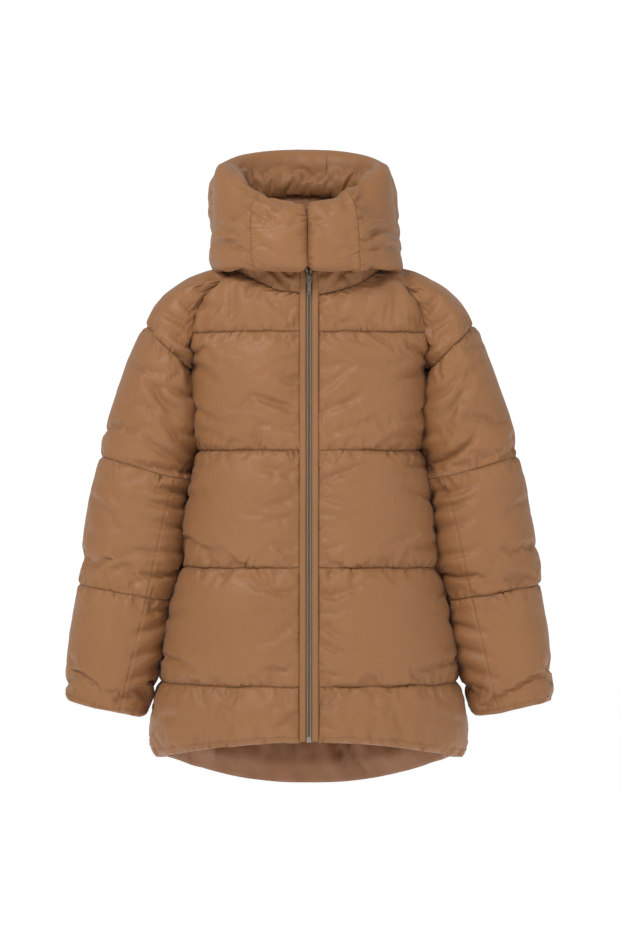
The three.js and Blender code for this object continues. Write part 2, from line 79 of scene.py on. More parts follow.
# %% Rings of the body, from the neck seam to the hem
NECK, YOKE, ARMPIT, CHEST, WAIST, HIP, HEM = range(7)
RINGS = np.array([  # half width, front, side, back, depth at the back
    (0.112, -0.055, -0.012, -0.012, 0.016),
    (0.200, -0.110, -0.110, -0.110, 0.072),
    (0.176, -0.158, -0.158, -0.158, 0.086),
    (0.168, -0.289, -0.289, -0.289, 0.092),
    (0.194, -0.465, -0.467, -0.467, 0.096),
    (0.224, -0.642, -0.642, -0.642, 0.104),
    (0.236, -0.724, -0.757, -0.814, 0.112),
])
FRONT_SLOPE = 0.083
PANEL_X = 0.0138
SQUARENESS = 2.3
SIDE, BACK = 90, 180
RAGLAN_NECK, RAGLAN_YOKE = 58, 60


def ring_at(level):
    """The five numbers of the ring at a level, where level 0 is the neck seam and 6 the hem."""
    level = np.asarray(level, float)
    ease = np.clip(level, 0, 1) * np.pi / 2
    numbers = []
    for k, column in enumerate(RINGS.T):
        rounded = column[0] + (column[1] - column[0]) * (np.sin(ease) if k in (0, 4) else 1 - np.cos(ease))
        numbers.append(np.where(level < 1, rounded, np.interp(level, np.arange(7), column)))
    return numbers


def height_at(front, side, back, angle):
    c = np.cos(np.radians(angle))
    return side + (np.where(c > 0, front, back) - side) * c * c


def squared(value, power):
    """Turns the sine and cosine of a circle into those of a rounded box: the lower the power, the squarer."""
    return np.sign(value) * np.abs(value) ** power


def outline(half, y_front, y_back, angle, z):
    """A point of a rounded box. Angle 0 is the front centre and 90 the wearer's left."""
    s, c = (squared(wave(np.radians(angle)), 2 / SQUARENESS) for wave in (np.sin, np.cos))
    return np.stack(np.broadcast_arrays(half * s, (y_front + y_back) / 2 - (y_back - y_front) / 2 * c, z), -1)


def front_y(z):
    return -0.160 - FRONT_SLOPE * (-0.055 - z)


def body_point(level, angle):
    half, front, side, back, y_back = ring_at(level)
    return outline(half, front_y(front), y_back, angle, height_at(front, side, back, angle))


def raglan_angle(level):
    """Where the raglan seam lies at a level, and below the armpit the side seam."""
    return np.interp(level, [NECK, YOKE, ARMPIT, HEM], [RAGLAN_NECK, RAGLAN_YOKE, SIDE, SIDE])


def back_from(level):
    return BACK - raglan_angle(level)


def back_to(level):
    return BACK + raglan_angle(level)


def angle_at(x, half):
    return np.degrees(np.arcsin((x / half) ** (SQUARENESS / 2)))


def path_length(points):
    return np.linalg.norm(np.diff(points, axis=0), axis=1).sum()


print("girth at the chest: %.2f m" % path_length(body_point(CHEST, np.linspace(0, 360, 200))))

# %% [markdown]
# ## The sleeve rings
# A raglan sleeve starts on a seam that runs from the neck to the armpit, and is then a plain tube. Its
# rings are given by an outer point, an inner point and a depth. The same ring numbers serve both sleeves:
# the right one is mirrored.

# %% Rings of the sleeves
SLEEVE = [  # outer x and z, inner x and z, half depth, y of the middle
    ((0.248, -0.099), (0.186, -0.165), 0.082, -0.042),
    ((0.317, -0.298), (0.194, -0.334), 0.076, -0.045),
    ((0.350, -0.494), (0.214, -0.518), 0.070, -0.052),
    ((0.369, -0.670), (0.255, -0.695), 0.058, -0.060),
]
NECK_STEPS, YOKE_STEPS, ARMHOLE_STEPS = 2, 4, 4
HALF_STEPS = NECK_STEPS + YOKE_STEPS + ARMHOLE_STEPS


def raglan_point(u):
    """The raglan seam as a loop: down the front from the shoulder to the armpit, and back up behind."""
    s = np.asarray(u) * 2 * HALF_STEPS
    behind = s > HALF_STEPS
    t = np.where(behind, 2 * HALF_STEPS - s, s)
    level = np.clip((t - NECK_STEPS) / YOKE_STEPS, 0, 2)
    angle = np.where(t < NECK_STEPS, SIDE + (RAGLAN_NECK - SIDE) * t / NECK_STEPS, raglan_angle(level))
    return body_point(level, np.where(behind, BACK - angle, angle))


def sleeve_ring(index, u):
    outer, inner, depth, y = SLEEVE[index]
    c, s = (squared(wave(2 * np.pi * u), 2 / SQUARENESS) for wave in (np.cos, np.sin))
    middle = (np.array(outer) + np.array(inner)) / 2
    half = np.array(outer) - middle
    return np.stack([middle[0] + half[0] * c, y - depth * s, middle[1] + half[1] * c], -1)


def shoulder_point(u, v):
    a, b = raglan_point(u), sleeve_ring(0, u)
    t = v * np.pi / 2
    round_x, round_z = v + 0.65 * (np.sin(t) - v), v + 0.65 * (1 - np.cos(t) - v)
    return a + (b - a) * np.stack(np.broadcast_arrays(round_x, v, round_z), -1)


def sleeve_point(index, u, v):
    a, b = sleeve_ring(index, u), sleeve_ring(index + 1, u)
    return a + (b - a) * v[..., None]


# %% [markdown]
# ## Cutting the cloth
# Wadding pushes the cloth of each channel out while stitching holds it down along the seams. More cloth
# is cut than the seam is long, and the surplus turns into the puckers and soft folds that make a puffer
# coat look real. Modelling each fold by hand would be slow and would never look random enough, so a cloth
# simulation makes them. Each channel is a grid whose border is pinned, and the cloth is told to be a few
# per cent larger than the space between its seams.

# %% Grids for the simulation
GRID = 0.0062
SEAM_SINK, SIDE_LIFT = 0.0008, 0.009
FRONT_WIDTH, BACK_WIDTH, SLEEVE_ROUND, SHOULDER_LENGTH, SLEEVE_LENGTH = 0.25, 0.5, 0.44, 0.13, 0.2
BODY_PUFF, YOKE_PUFF, SHOULDER_PUFF, SLEEVE_PUFF = 0.012, 0.009, 0.006, 0.008


class Channel:
    """One padded channel: a grid of points over its middle surface, and how far it swells."""

    def __init__(self, name, points, looped, mirror, puff=BODY_PUFF, held=None, seam_lift=None):
        """seam_lift is how far out a soft seam lies; a hard one, at 0, is pulled right down."""
        self.name, self.looped = name, looped
        lift = np.zeros(points.shape[:2]) if seam_lift is None else seam_lift
        if mirror:
            points = (points * (-1, 1, 1))[:, ::-1]
            held = None if held is None else held[:, ::-1]
            lift = lift[:, ::-1]
        self.seam_lift = lift
        self.points = points
        self.normals = grid_normals(points, looped)
        rows, columns = points.shape[:2]
        self.down = np.linspace(0, 1, rows)[:, None] * np.ones((1, columns))
        self.across = np.linspace(0, 1, columns)[None, :] * np.ones((rows, 1))
        self.pinned = (self.down == 0) | (self.down == 1)
        if not looped:
            self.pinned |= (self.across == 0) | (self.across == 1)
        if held is not None:
            self.pinned |= held
        self.puff = np.broadcast_to(puff, (rows, columns))

    def crown(self, power, steepness):
        """From 0 at the seams to 1 in the middle."""
        sideways = 1 if self.looped else np.clip(np.sin(np.pi * self.across) * steepness, 0, 1)
        return np.sin(np.pi * self.down) ** power * sideways


def grid_normals(points, looped):
    """Unit normals of a grid [row, column]. Rows run down and columns anticlockwise seen from above."""
    if looped:
        across = np.roll(points, -1, 1) - np.roll(points, 1, 1)
    else:
        across = np.gradient(points, axis=1)
    down = np.gradient(points, axis=0)
    normal = np.cross(down, across)
    return normal / np.maximum(np.linalg.norm(normal, axis=2, keepdims=True), 1e-9)


def steps_for(length):
    return max(4, int(round(length / GRID))) + 1


def body_channel(name, levels, from_angle, to_angle, width, mirror=False, **how):
    """levels lists the rings to pass through; each stretch between two of them gets its own even rows."""
    rows = []
    for a, b in zip(levels, levels[1:]):
        length = np.linalg.norm(body_point(b, 30.0) - body_point(a, 30.0))
        rows += list(np.linspace(a, b, steps_for(length)))[: None if b == levels[-1] else -1]
    level = np.array(rows)[:, None]
    u = np.linspace(0, 1, steps_for(width))[None, :]
    angle = from_angle(level) + (to_angle(level) - from_angle(level)) * u
    # below the armpit, the side seam is only a soft fold: the wadding goes on past it
    near_side = np.clip(1 - np.abs(np.cos(np.radians(angle))) / 0.42, 0, 1) * np.clip((level - 2) * 4, 0, 1)
    down = np.linspace(0, 1, len(rows))[:, None]
    soft = SIDE_LIFT * near_side * np.sin(np.pi * down) ** 0.4
    return Channel(name, body_point(level, angle), False, mirror, seam_lift=soft, **how)


def zip_angle(level):
    return angle_at(PANEL_X, ring_at(level)[0])


def sleeve_channel(name, surface, length, mirror=False, seam_lifts=(0, 0), squeeze=(0.017, 0.017), **how):
    """seam_lifts is how far the cloth around it pushes the upper and the lower seam towards the body.
    squeeze is how much more the side next to the body swells, at the top and at the bottom, to fill the
    space there."""
    count = int(SLEEVE_ROUND / GRID)
    down = np.linspace(0, 1, steps_for(length))[:, None]
    u, v = np.broadcast_arrays(np.arange(count)[None, :] / count, down)
    points = surface(u, v)[:, ::-1]  # sleeves run clockwise, so their columns are turned round
    made = Channel(name, points, True, mirror, **how)
    inward = np.clip(-made.normals[..., 0] * np.sign(made.points[..., 0]), 0, 1)
    near_top, near_bottom = np.clip(1 - v / 0.2, 0, 1), np.clip(1 - (1 - v) / 0.2, 0, 1)
    made.seam_lift = inward * (seam_lifts[0] * near_top + seam_lifts[1] * near_bottom)
    made.puff = made.puff + inward * (squeeze[0] + (squeeze[1] - squeeze[0]) * v)
    return made


BAFFLES = {
    "yoke": [NECK, YOKE],
    "chest": [YOKE, ARMPIT, CHEST],
    "waist": [CHEST, WAIST],
    "hip": [WAIST, HIP],
    "hem": [HIP, HEM],
}
SLEEVE_BAFFLES = {  # seam lifts and squeeze of each
    "upper_arm": {"seam_lifts": (0, 0.020), "squeeze": (0.017, 0.027)},
    "forearm": {"seam_lifts": (0.020, 0.004), "squeeze": (0.019, 0.009)},
    "cuff": {"seam_lifts": (0.004, 0), "squeeze": (0.006, 0.0)},
}
channels = []
for name, levels in BAFFLES.items():
    puff = YOKE_PUFF if name == "yoke" else BODY_PUFF
    for side in ("left", "right"):
        channels.append(body_channel(
            f"{side}_front_{name}_baffle", levels, zip_angle, raglan_angle, FRONT_WIDTH,
            mirror=side == "right", puff=puff))
    channels.append(body_channel(f"back_{name}_baffle", levels, back_from, back_to, BACK_WIDTH, puff=puff))
for side in ("left", "right"):
    mirror = side == "right"
    channels.append(sleeve_channel(
        f"{side}_shoulder_baffle", shoulder_point, SHOULDER_LENGTH, mirror, puff=SHOULDER_PUFF))
    for index, (name, how) in enumerate(SLEEVE_BAFFLES.items()):
        channels.append(sleeve_channel(
            f"{side}_{name}_baffle", partial(sleeve_point, index), SLEEVE_LENGTH, mirror,
            puff=SLEEVE_PUFF, **how))
print(len(channels), "channels,", sum(c.points[..., 0].size for c in channels), "points")

# %% [markdown]
# ## The collar
# The collar is a tall tube that rolls over and falls back down outside, stuffed much fuller than the
# body. Its section is drawn once, up the outside, over the rim and down inside, and is carried round an
# oval. The height of the rim follows its own curve: low at the throat and high behind the head. Inside it
# stands a second, thinner band that joins it to the neck seam.

# %% The collar's grids
SLIT_LIFT, FALL_LIFT = 0.001, 0.0065
ROLL_PUFF, INSIDE_PUFF, STAND_PUFF = 0.009, 0.006, 0.006
ROLL_ROUND, STAND_ROUND, STAND_HEIGHT = 0.36, 0.74, 0.11
COLLAR_HALF, COLLAR_FRONT, COLLAR_BACK = 0.145, -0.200, 0.050
FALL_EDGE = (-0.013, -0.007, 0.002)  # heights at the front, side and back
RIM_FRONT, RIM_SIDE, RIM_BACK = 0.080, 0.157, 0.187
SLIT_ANGLE, FALL_SEAM = 0.3, 30
FALL_SECTION = np.array([  # inset in millimetres, share of the height
    (10, -0.03), (3, 0.04), (1, 0.2), (1, 0.4), (3, 0.62), (6.5, 0.8), (13, 0.93), (22, 0.99),
    (33, 0.97), (41, 0.87), (43, 0.74), (38, 0.63), (28, 0.58), (24, 0.33), (19, 0.02)])


def rim_height(angle):
    """The rim drops steeply from the sides to the throat, and hardly rises behind."""
    c = np.cos(np.radians(angle))
    front = RIM_SIDE + (RIM_FRONT - RIM_SIDE) * np.abs(c) ** 1.5
    back = RIM_SIDE + (RIM_BACK - RIM_SIDE) * np.abs(c) ** 1.2
    return np.where(c > 0, front, back)


def collar_point(angle, inset, share):
    """inset is how far inside the outermost oval, and share how far up from the lower edge to the rim."""
    z = height_at(*FALL_EDGE, angle) + (rim_height(angle) - height_at(*FALL_EDGE, angle)) * share
    return outline(COLLAR_HALF - inset, COLLAR_FRONT + inset, COLLAR_BACK - inset, angle, z)


def closed_spline(points, count):
    """Even steps along a smooth closed curve through the points."""
    padded = np.concatenate([points[-1:], points, points[:2]])
    t = np.linspace(0, 1, 12, endpoint=False)[:, None]
    pieces = []
    for a, b, c, d in zip(padded, padded[1:], padded[2:], padded[3:]):
        square, cube = 2 * a - 5 * b + 4 * c - d, 3 * b - a - 3 * c + d
        pieces.append(0.5 * (2 * b + (c - a) * t + square * t**2 + cube * t**3))
    curve = np.concatenate(pieces + [pieces[0][:1]])
    size = np.array([0.001, 0.13])  # makes the two columns of the section comparable in length
    run = np.concatenate([[0], np.cumsum(np.linalg.norm(np.diff(curve * size, axis=0), axis=1))])
    even = np.linspace(0, run[-1], count, endpoint=False)
    return np.stack([np.interp(even, run, curve[:, k]) for k in (0, 1)], -1)


def fall_channel(name, from_angle, to_angle, mirror=False, slit=False):
    """One stretch of the roll. slit says that its first edge closes the collar in front, and rounds it."""
    section = closed_spline(FALL_SECTION, int(ROLL_ROUND / GRID))
    length = path_length(collar_point(np.linspace(from_angle, to_angle, 60), 0.0, 0.5))
    angle = np.linspace(from_angle, to_angle, steps_for(length))[:, None]
    inset, share = section[None, :, 0] / 1000, section[None, :, 1]
    points = collar_point(angle, inset, share)
    normals = grid_normals(points, True)
    run = np.linalg.norm(np.diff(points, axis=0), axis=2).mean(1)
    run = np.concatenate([[0], np.cumsum(run)])
    if slit:
        near = np.clip(1 - run / 0.008, 0, 1)
        points = points - normals * (0.006 * (1 - np.sqrt(1 - near**2)))[:, None, None]
    held = np.broadcast_to((inset > 0.015) & (inset < 0.03) & (share < 0.7) & (share > 0.1), points.shape[:2])
    first = SLIT_LIFT if slit else FALL_LIFT
    near_first, near_last = (np.clip(1 - away / 0.035, 0, 1) for away in (run, run[-1] - run))
    lift = np.maximum(first * near_first, FALL_LIFT * near_last)
    puff = np.where(inset > 0.030, INSIDE_PUFF, ROLL_PUFF) * np.ones_like(held)
    return Channel(name, points, True, mirror, puff=puff, held=held, seam_lift=lift[:, None] * ~held)


def stand_channel(name):
    start = angle_at(PANEL_X, RINGS[0][0])
    angle = np.linspace(start, 2 * BACK - start, steps_for(STAND_ROUND))[None, :]
    v = np.linspace(0, 1, steps_for(STAND_HEIGHT))[:, None]
    top = collar_point(angle, 0.034, 0.62)
    bottom = body_point(NECK, angle)
    bottom[..., 2] += 0.001
    return Channel(name, top + (bottom - top) * v[..., None], False, False, puff=STAND_PUFF)


collar_channels = [
    fall_channel("left_collar_front_fall", SLIT_ANGLE, FALL_SEAM, slit=True),
    fall_channel("right_collar_front_fall", SLIT_ANGLE, FALL_SEAM, mirror=True, slit=True),
    fall_channel("collar_side_fall", FALL_SEAM, 2 * BACK - FALL_SEAM),  # one piece round the back
]
stands = [stand_channel("collar_stand")]
print("collar:", sum(c.points[..., 0].size for c in collar_channels + stands), "points")

# %% [markdown]
# ## Inflating the channels
# All channels go into one mesh, because one simulation is quicker than thirty. Before it starts, each
# channel gets a few shallow folds that point away from its seams, since that is where thread gathers
# cloth. The simulation then has somewhere to put its surplus, and turns the folds into natural ones.

# %% Folds to start from
def ripple(points, size, seed):
    """Smooth noise from -1 to 1 at each point, the same on both sides of a seam."""
    flat = points.reshape(-1, 3) / size + seed
    return np.array([noise.noise(Vector(p)) for p in flat]).reshape(points.shape[:-1])


def seam_shift(points, normals):
    """Stitched seams wander a millimetre or so, because the wadding pulls on them."""
    wander = ripple(points, 0.022, 3.7) * 0.0012 + ripple(points, 0.07, 9.1) * 0.002
    shifted = points + normals * (SEAM_SINK + wander)[..., None]
    shifted[..., 2] += ripple(points, 0.03, 21.3) * 0.002
    return shifted


def lengths(points):
    """How far each column and each row of a grid is from the first, in metres."""
    across = np.linalg.norm(np.diff(points, axis=1), axis=2).mean(0)
    down = np.linalg.norm(np.diff(points, axis=0), axis=2).mean(1)
    return np.concatenate([[0], np.cumsum(across)]), np.concatenate([[0], np.cumsum(down)])


def valley(side, width, ridge):
    """The section across a fold: a valley 1 deep in the middle, and a ridge beside it."""
    beside = (side - 1.9 * width) / (1.2 * width)
    return ridge * np.exp(-(beside**2)) - np.exp(-((side / width) ** 2))


def fold(u, v, place, angle, length, width):
    """A fold of a given length through a place on the cloth, bent a little."""
    c, s = math.cos(angle), math.sin(angle)
    along = ((u - place[0]) * c + (v - place[1]) * s) / (length / 2)
    side = (v - place[1]) * c - (u - place[0]) * s + 0.10 * length * along**2
    taper = np.clip(1 - along**2, 0, 1)
    return taper * valley(side, width, 0.5)


def gathers(c, number, density=1.0):
    """Random folds, upright near the upper and lower seams and level near the side ones."""
    random = np.random.default_rng(40 + number)
    across, down = lengths(c.points)
    u, v = across[None, :], down[:, None]
    width, height = across[-1], down[-1]
    out = np.zeros(c.points.shape[:2])
    for _ in range(int(density * width / 0.022)):
        top = random.random() < 0.55
        length = random.uniform(0.02, 0.06)
        place = (random.uniform(0, width), 0.2 * length if top else height - 0.2 * length)
        angle = math.pi / 2 + random.normal(0, 0.35)
        depth, breadth = random.uniform(0.0008, 0.0030), random.uniform(0.0045, 0.007)
        out += depth * fold(u, v, place, angle, length, breadth)
    if not c.looped:
        for _ in range(int(density * 2 * height / 0.026)):
            first = random.random() < 0.6
            length = random.uniform(0.025, 0.08)
            place = (0.2 * length if first else width - 0.2 * length, random.uniform(0, height))
            angle = random.normal(0.25 if first else -0.25, 0.3)
            depth, breadth = random.uniform(0.0008, 0.0028), random.uniform(0.0045, 0.007)
            out += depth * fold(u, v, place, angle, length, breadth)
    for _ in range(int(density * width * height / 0.004)):
        place = (random.uniform(0, width), random.uniform(0, height))
        depth, angle = random.uniform(0.0003, 0.0010), random.uniform(0, math.pi)
        out += depth * fold(u, v, place, angle, random.uniform(0.03, 0.08), 0.007)
    return out


# %% [markdown]
# A few folds are not random. Cloth is always dragged towards the armpit, it breaks in the crook of the
# elbow, and it fans out from a stiff zip. These are placed one by one on the front and mirrored for the
# other side.

# %% Folds with a place of their own
DRAG_FOLDS = {  # for each channel: from x and z, to x and z, depth and width in metres
    "collar_side_fall": [
        ((0.140, 0.052), (0.080, 0.020), 0.006, 0.006), ((0.140, 0.024), (0.074, 0.004), 0.006, 0.006),
        ((0.132, 0.112), (0.072, 0.098), 0.005, 0.006), ((0.138, 0.080), (0.095, 0.060), 0.003, 0.006),
        ((0.090, 0.155), (0.070, 0.118), 0.004, 0.006)],
    "collar_front_fall": [
        ((0.066, 0.088), (0.022, 0.080), 0.004, 0.0055), ((0.068, 0.060), (0.040, 0.052), 0.002, 0.005),
        ((0.068, 0.010), (0.030, 0.004), 0.003, 0.006), ((0.006, 0.062), (0.026, 0.050), 0.003, 0.005)],
    "collar_stand": [
        ((0.075, -0.006), (0.030, -0.044), 0.006, 0.005), ((0.055, -0.010), (0.020, -0.030), 0.003, 0.005)],
    "front_yoke_baffle": [
        ((0.13, -0.075), (0.175, -0.103), 0.0025, 0.006), ((0.03, -0.088), (0.10, -0.098), 0.0018, 0.006)],
    "front_chest_baffle": [
        ((0.018, -0.262), (0.10, -0.235), 0.0035, 0.006), ((0.018, -0.232), (0.085, -0.195), 0.0035, 0.006),
        ((0.018, -0.196), (0.06, -0.160), 0.003, 0.0055), ((0.175, -0.165), (0.120, -0.190), 0.004, 0.007),
        ((0.178, -0.150), (0.140, -0.130), 0.0035, 0.006), ((0.165, -0.262), (0.11, -0.272), 0.003, 0.006),
        ((0.170, -0.225), (0.135, -0.245), 0.003, 0.006)],
    "front_waist_baffle": [
        ((0.018, -0.33), (0.085, -0.305), 0.0035, 0.006), ((0.018, -0.36), (0.07, -0.37), 0.003, 0.006),
        ((0.018, -0.44), (0.06, -0.42), 0.0035, 0.006), ((0.178, -0.37), (0.13, -0.345), 0.0035, 0.007),
        ((0.183, -0.43), (0.14, -0.442), 0.0035, 0.006), ((0.172, -0.32), (0.14, -0.31), 0.003, 0.006)],
    "front_hip_baffle": [
        ((0.018, -0.505), (0.09, -0.485), 0.0035, 0.006), ((0.018, -0.55), (0.075, -0.575), 0.0035, 0.006),
        ((0.018, -0.62), (0.08, -0.61), 0.003, 0.006), ((0.2, -0.55), (0.15, -0.52), 0.0035, 0.007),
        ((0.21, -0.61), (0.16, -0.62), 0.0035, 0.006)],
    "front_hem_baffle": [
        ((0.018, -0.67), (0.07, -0.665), 0.003, 0.005), ((0.018, -0.70), (0.06, -0.69), 0.003, 0.005),
        ((0.215, -0.70), (0.17, -0.69), 0.003, 0.006)],
    "upper_arm_baffle": [
        ((0.192, -0.300), (0.222, -0.215), 0.007, 0.007), ((0.205, -0.245), (0.243, -0.165), 0.006, 0.007),
        ((0.192, -0.310), (0.252, -0.262), 0.006, 0.007), ((0.187, -0.215), (0.222, -0.182), 0.005, 0.006),
        ((0.226, -0.180), (0.270, -0.145), 0.003, 0.006), ((0.205, -0.322), (0.285, -0.292), 0.004, 0.007),
        ((0.186, -0.265), (0.207, -0.250), 0.005, 0.006)],
    "forearm_baffle": [
        ((0.198, -0.352), (0.262, -0.338), 0.006, 0.006), ((0.199, -0.378), (0.262, -0.352), 0.006, 0.006),
        ((0.203, -0.408), (0.258, -0.384), 0.005, 0.006), ((0.207, -0.442), (0.262, -0.432), 0.005, 0.006),
        ((0.212, -0.478), (0.255, -0.472), 0.004, 0.006), ((0.33, -0.36), (0.295, -0.39), 0.003, 0.006)],
    "cuff_baffle": [
        ((0.219, -0.545), (0.28, -0.565), 0.006, 0.006), ((0.222, -0.575), (0.285, -0.60), 0.005, 0.006),
        ((0.232, -0.61), (0.29, -0.632), 0.004, 0.006), ((0.216, -0.535), (0.262, -0.528), 0.004, 0.005),
        ((0.35, -0.63), (0.31, -0.65), 0.003, 0.006)],
    "shoulder_baffle": [
        ((0.184, -0.158), (0.228, -0.125), 0.005, 0.006), ((0.182, -0.140), (0.214, -0.098), 0.005, 0.006),
        ((0.188, -0.105), (0.222, -0.072), 0.004, 0.006), ((0.168, -0.085), (0.195, -0.055), 0.004, 0.006)],
}


def drag_fold(points, normals, a, b, depth, width):
    """One of those folds: a valley from a to b on the front, sagging a little, with a ridge below it."""
    a, b = np.array(a), np.array(b)
    along = b - a
    flat = points[..., [0, 2]] - a
    t = (flat @ along) / (along @ along)
    side = (flat[..., 0] * along[1] - flat[..., 1] * along[0]) / np.linalg.norm(along)
    side = side + 0.12 * np.linalg.norm(along) * (4 * (t - 0.5) ** 2 - 1) * 0.5
    taper = np.clip(np.sin(np.pi * np.clip(0.15 + 0.85 * t, 0, 1)), 0, 1) ** 0.8
    taper = taper * (t > -0.15) * (t < 1)
    facing = np.clip(-normals[..., 1] * 2.5 + 0.5, 0, 1)
    return depth * taper * facing * valley(side, width, 0.6)


def placed_folds(c):
    signs = {"left": [1], "right": [-1]}.get(c.name.split("_")[0], [1, -1])
    out = np.zeros(c.points.shape[:2])
    for ending, strokes in DRAG_FOLDS.items():
        if c.name.endswith(ending):
            for sign, (a, b, depth, width) in ((sign, stroke) for sign in signs for stroke in strokes):
                if sign < 0:  # the two sides are never quite alike
                    a, b = (a[0], a[1] + 0.007), (b[0], b[1] - 0.006)
                out += drag_fold(c.points * (sign, 1, 1), c.normals * (sign, 1, 1), a, b, depth, width)
    return out


# %% [markdown]
# The cloth itself is light, soft and nearly without stretch. A negative shrink factor makes it larger
# than it starts, which is what an easy cut does. The seams are pinned and a small pressure stands for the
# wadding.

# %% Cloth simulation
FRAMES, PRESSURE = 22, 10.0
SURPLUS, FIRM_SURPLUS = 0.040, 0.007  # the outside of the collar is stuffed firm, so it has less surplus
HEADROOM = 0.007


def inflate(channels, frames, pressure):
    """Runs the cloth and gives back one array of points for each channel."""
    start, faces, pins, firm, first = [], [], [], [], 0
    for order, c in enumerate(channels):
        wrinkle = ripple(c.points, 0.018, 5.0) * 0.0012 + ripple(c.points, 0.05, 50.0) * 0.002
        density = 0.5 if "collar" in c.name or "shoulder" in c.name else 1.0
        wrinkle += gathers(c, order, density) + placed_folds(c)
        seam = seam_shift(c.points, c.normals)
        swell = np.maximum(c.crown(0.6, 3) * c.puff * 0.65, c.seam_lift)
        lift = np.where(c.pinned, c.seam_lift, swell + wrinkle)[..., None]
        start.append((seam + c.normals * lift).reshape(-1, 3))
        rows, columns = c.points.shape[:2]
        number = first + np.arange(rows * columns).reshape(rows, columns)
        nearby = np.concatenate([number, number[:, :1]], 1) if c.looped else number
        quads = np.stack([nearby[:-1, :-1], nearby[1:, :-1], nearby[1:, 1:], nearby[:-1, 1:]], -1)
        faces.append(quads.reshape(-1, 4))
        pins.append(number[c.pinned])
        if "fall" in c.name:  # the roll's inner side swells less, stays loose and creases
            firm.append(number[c.puff > INSIDE_PUFF])
        first += rows * columns
    mesh = bpy.data.meshes.new("cloth")
    mesh.from_pydata(np.concatenate(start).tolist(), [], np.concatenate(faces).tolist())
    cloth = bpy.data.objects.new("cloth", mesh)
    bpy.context.scene.collection.objects.link(cloth)
    cloth.vertex_groups.new(name="seams").add(np.concatenate(pins).tolist(), 1.0, "REPLACE")
    cloth.vertex_groups.new(name="firm").add(np.concatenate(firm).tolist(), 1.0, "REPLACE")
    modifier = cloth.modifiers.new("cloth", "CLOTH")
    s = modifier.settings
    s.quality, s.mass, s.air_damping = 5, 0.1, 1
    s.tension_stiffness = s.compression_stiffness = 18
    s.shear_stiffness, s.bending_stiffness = 8, 0.05
    s.tension_damping = s.compression_damping = s.shear_damping = 5
    s.vertex_group_mass = "seams"
    s.shrink_min, s.shrink_max = -SURPLUS, -FIRM_SURPLUS
    s.vertex_group_shrink = "firm"
    print("surplus: %.3f, and %.3f in the collar" % (-s.shrink_min, -s.shrink_max))
    s.use_pressure, s.uniform_pressure_force = True, pressure
    s.effector_weights.gravity = 0.15
    modifier.collision_settings.use_collision = False
    modifier.point_cache.frame_start, modifier.point_cache.frame_end = 1, frames
    scene = bpy.context.scene
    scene.frame_start, scene.frame_end = 1, frames
    for number in range(1, frames + 1):
        scene.frame_set(number)
    found = np.zeros(first * 3, np.float32)
    evaluated = cloth.evaluated_get(bpy.context.evaluated_depsgraph_get())
    evaluated.data.vertices.foreach_get("co", found)
    found = found.reshape(-1, 3).astype(float)
    bpy.data.objects.remove(cloth)
    scene.frame_set(1)
    results, first = [], 0
    for c in channels:
        count = c.points[..., 0].size
        moved = found[first:first + count].reshape(c.points.shape)
        first += count
        out = ((moved - c.points) * c.normals).sum(-1)
        over = np.maximum(out - c.puff, 0)  # past its puff the cloth rises less and less, up to the headroom
        risen = np.minimum(out, c.puff) + HEADROOM * (1 - np.exp(-over / HEADROOM))
        capped = np.maximum(risen, SEAM_SINK - 0.005)
        results.append(moved + c.normals * (capped - out)[..., None])
    return results


everything = channels + collar_channels + stands
shapes = inflate(everything, FRAMES, PRESSURE)
for c, shape in zip(everything, shapes):
    rise = ((shape - c.points) * c.normals).sum(-1)
    print(c.name, "rises %.1f mm at most, %.1f on average" % (rise.max() * 1000, rise.mean() * 1000))

# %% [markdown]
# ## Puckers
# Thread pulls the cloth together along a seam, and short creases run away from it into the channel. They
# are too fine for the simulation's grid, so they are added after it, on a grid that is finer along the
# seams.

# %% Finer grids and puckers
def doubled(p, wrap):
    """Twice the rows, on smooth curves through the old ones."""
    if wrap:
        a, b, c, d = (np.roll(p, k, 0) for k in (1, 0, -1, -2))
    else:
        ends = np.concatenate([2 * p[:1] - p[1:2], p, 2 * p[-1:] - p[-2:-1]])
        a, b, c, d = ends[:-3], ends[1:-2], ends[2:-1], ends[3:]
    made = np.zeros((len(p) * 2 - (0 if wrap else 1),) + p.shape[1:])
    made[::2], made[1::2] = p, (9 * (b + c) - a - d) / 16
    return made


def refine(grid, looped, across=2):
    """Doubles the rows of a grid once, and its columns as many times as asked."""
    grid = doubled(grid, False)
    for _ in range(across):
        grid = doubled(grid.swapaxes(0, 1), looped).swapaxes(0, 1)
    return grid


def pucker(points, seed, strength):
    """Short creases that run down from row 0 of a grid. The result is how far each point moves out."""
    step = np.linalg.norm(np.diff(points, axis=0), axis=2)
    away = np.concatenate([np.zeros((1, points.shape[1])), np.cumsum(step, axis=0)])
    seam = points[:1]
    cell = max(np.linalg.norm(np.diff(seam, axis=1), axis=2).mean(), 1e-4)
    wave = ripple(seam, 0.0105, seed)[0]
    slant = ripple(seam, 0.05, seed + 4)[0] * 1.6
    reach = 0.005 + 0.026 * np.abs(ripple(seam, 0.022, seed + 8)[0])
    depth = 0.0012 + 0.0105 * np.abs(ripple(seam, 0.03, seed + 12)[0]) ** 1.3
    column = np.arange(points.shape[1])[None, :] + slant[None, :] * away / cell
    column = np.clip(column, 0, points.shape[1] - 1)
    line = partial(np.interp, column, np.arange(points.shape[1]))
    crease = np.clip(1 - np.abs(line(wave)) / 0.17, 0, 1) ** 1.2
    fade = np.exp(-(away / line(reach)) ** 1.5) * np.clip(away / 0.0022, 0, 1)
    return strength * line(depth) * fade * (0.30 - crease)


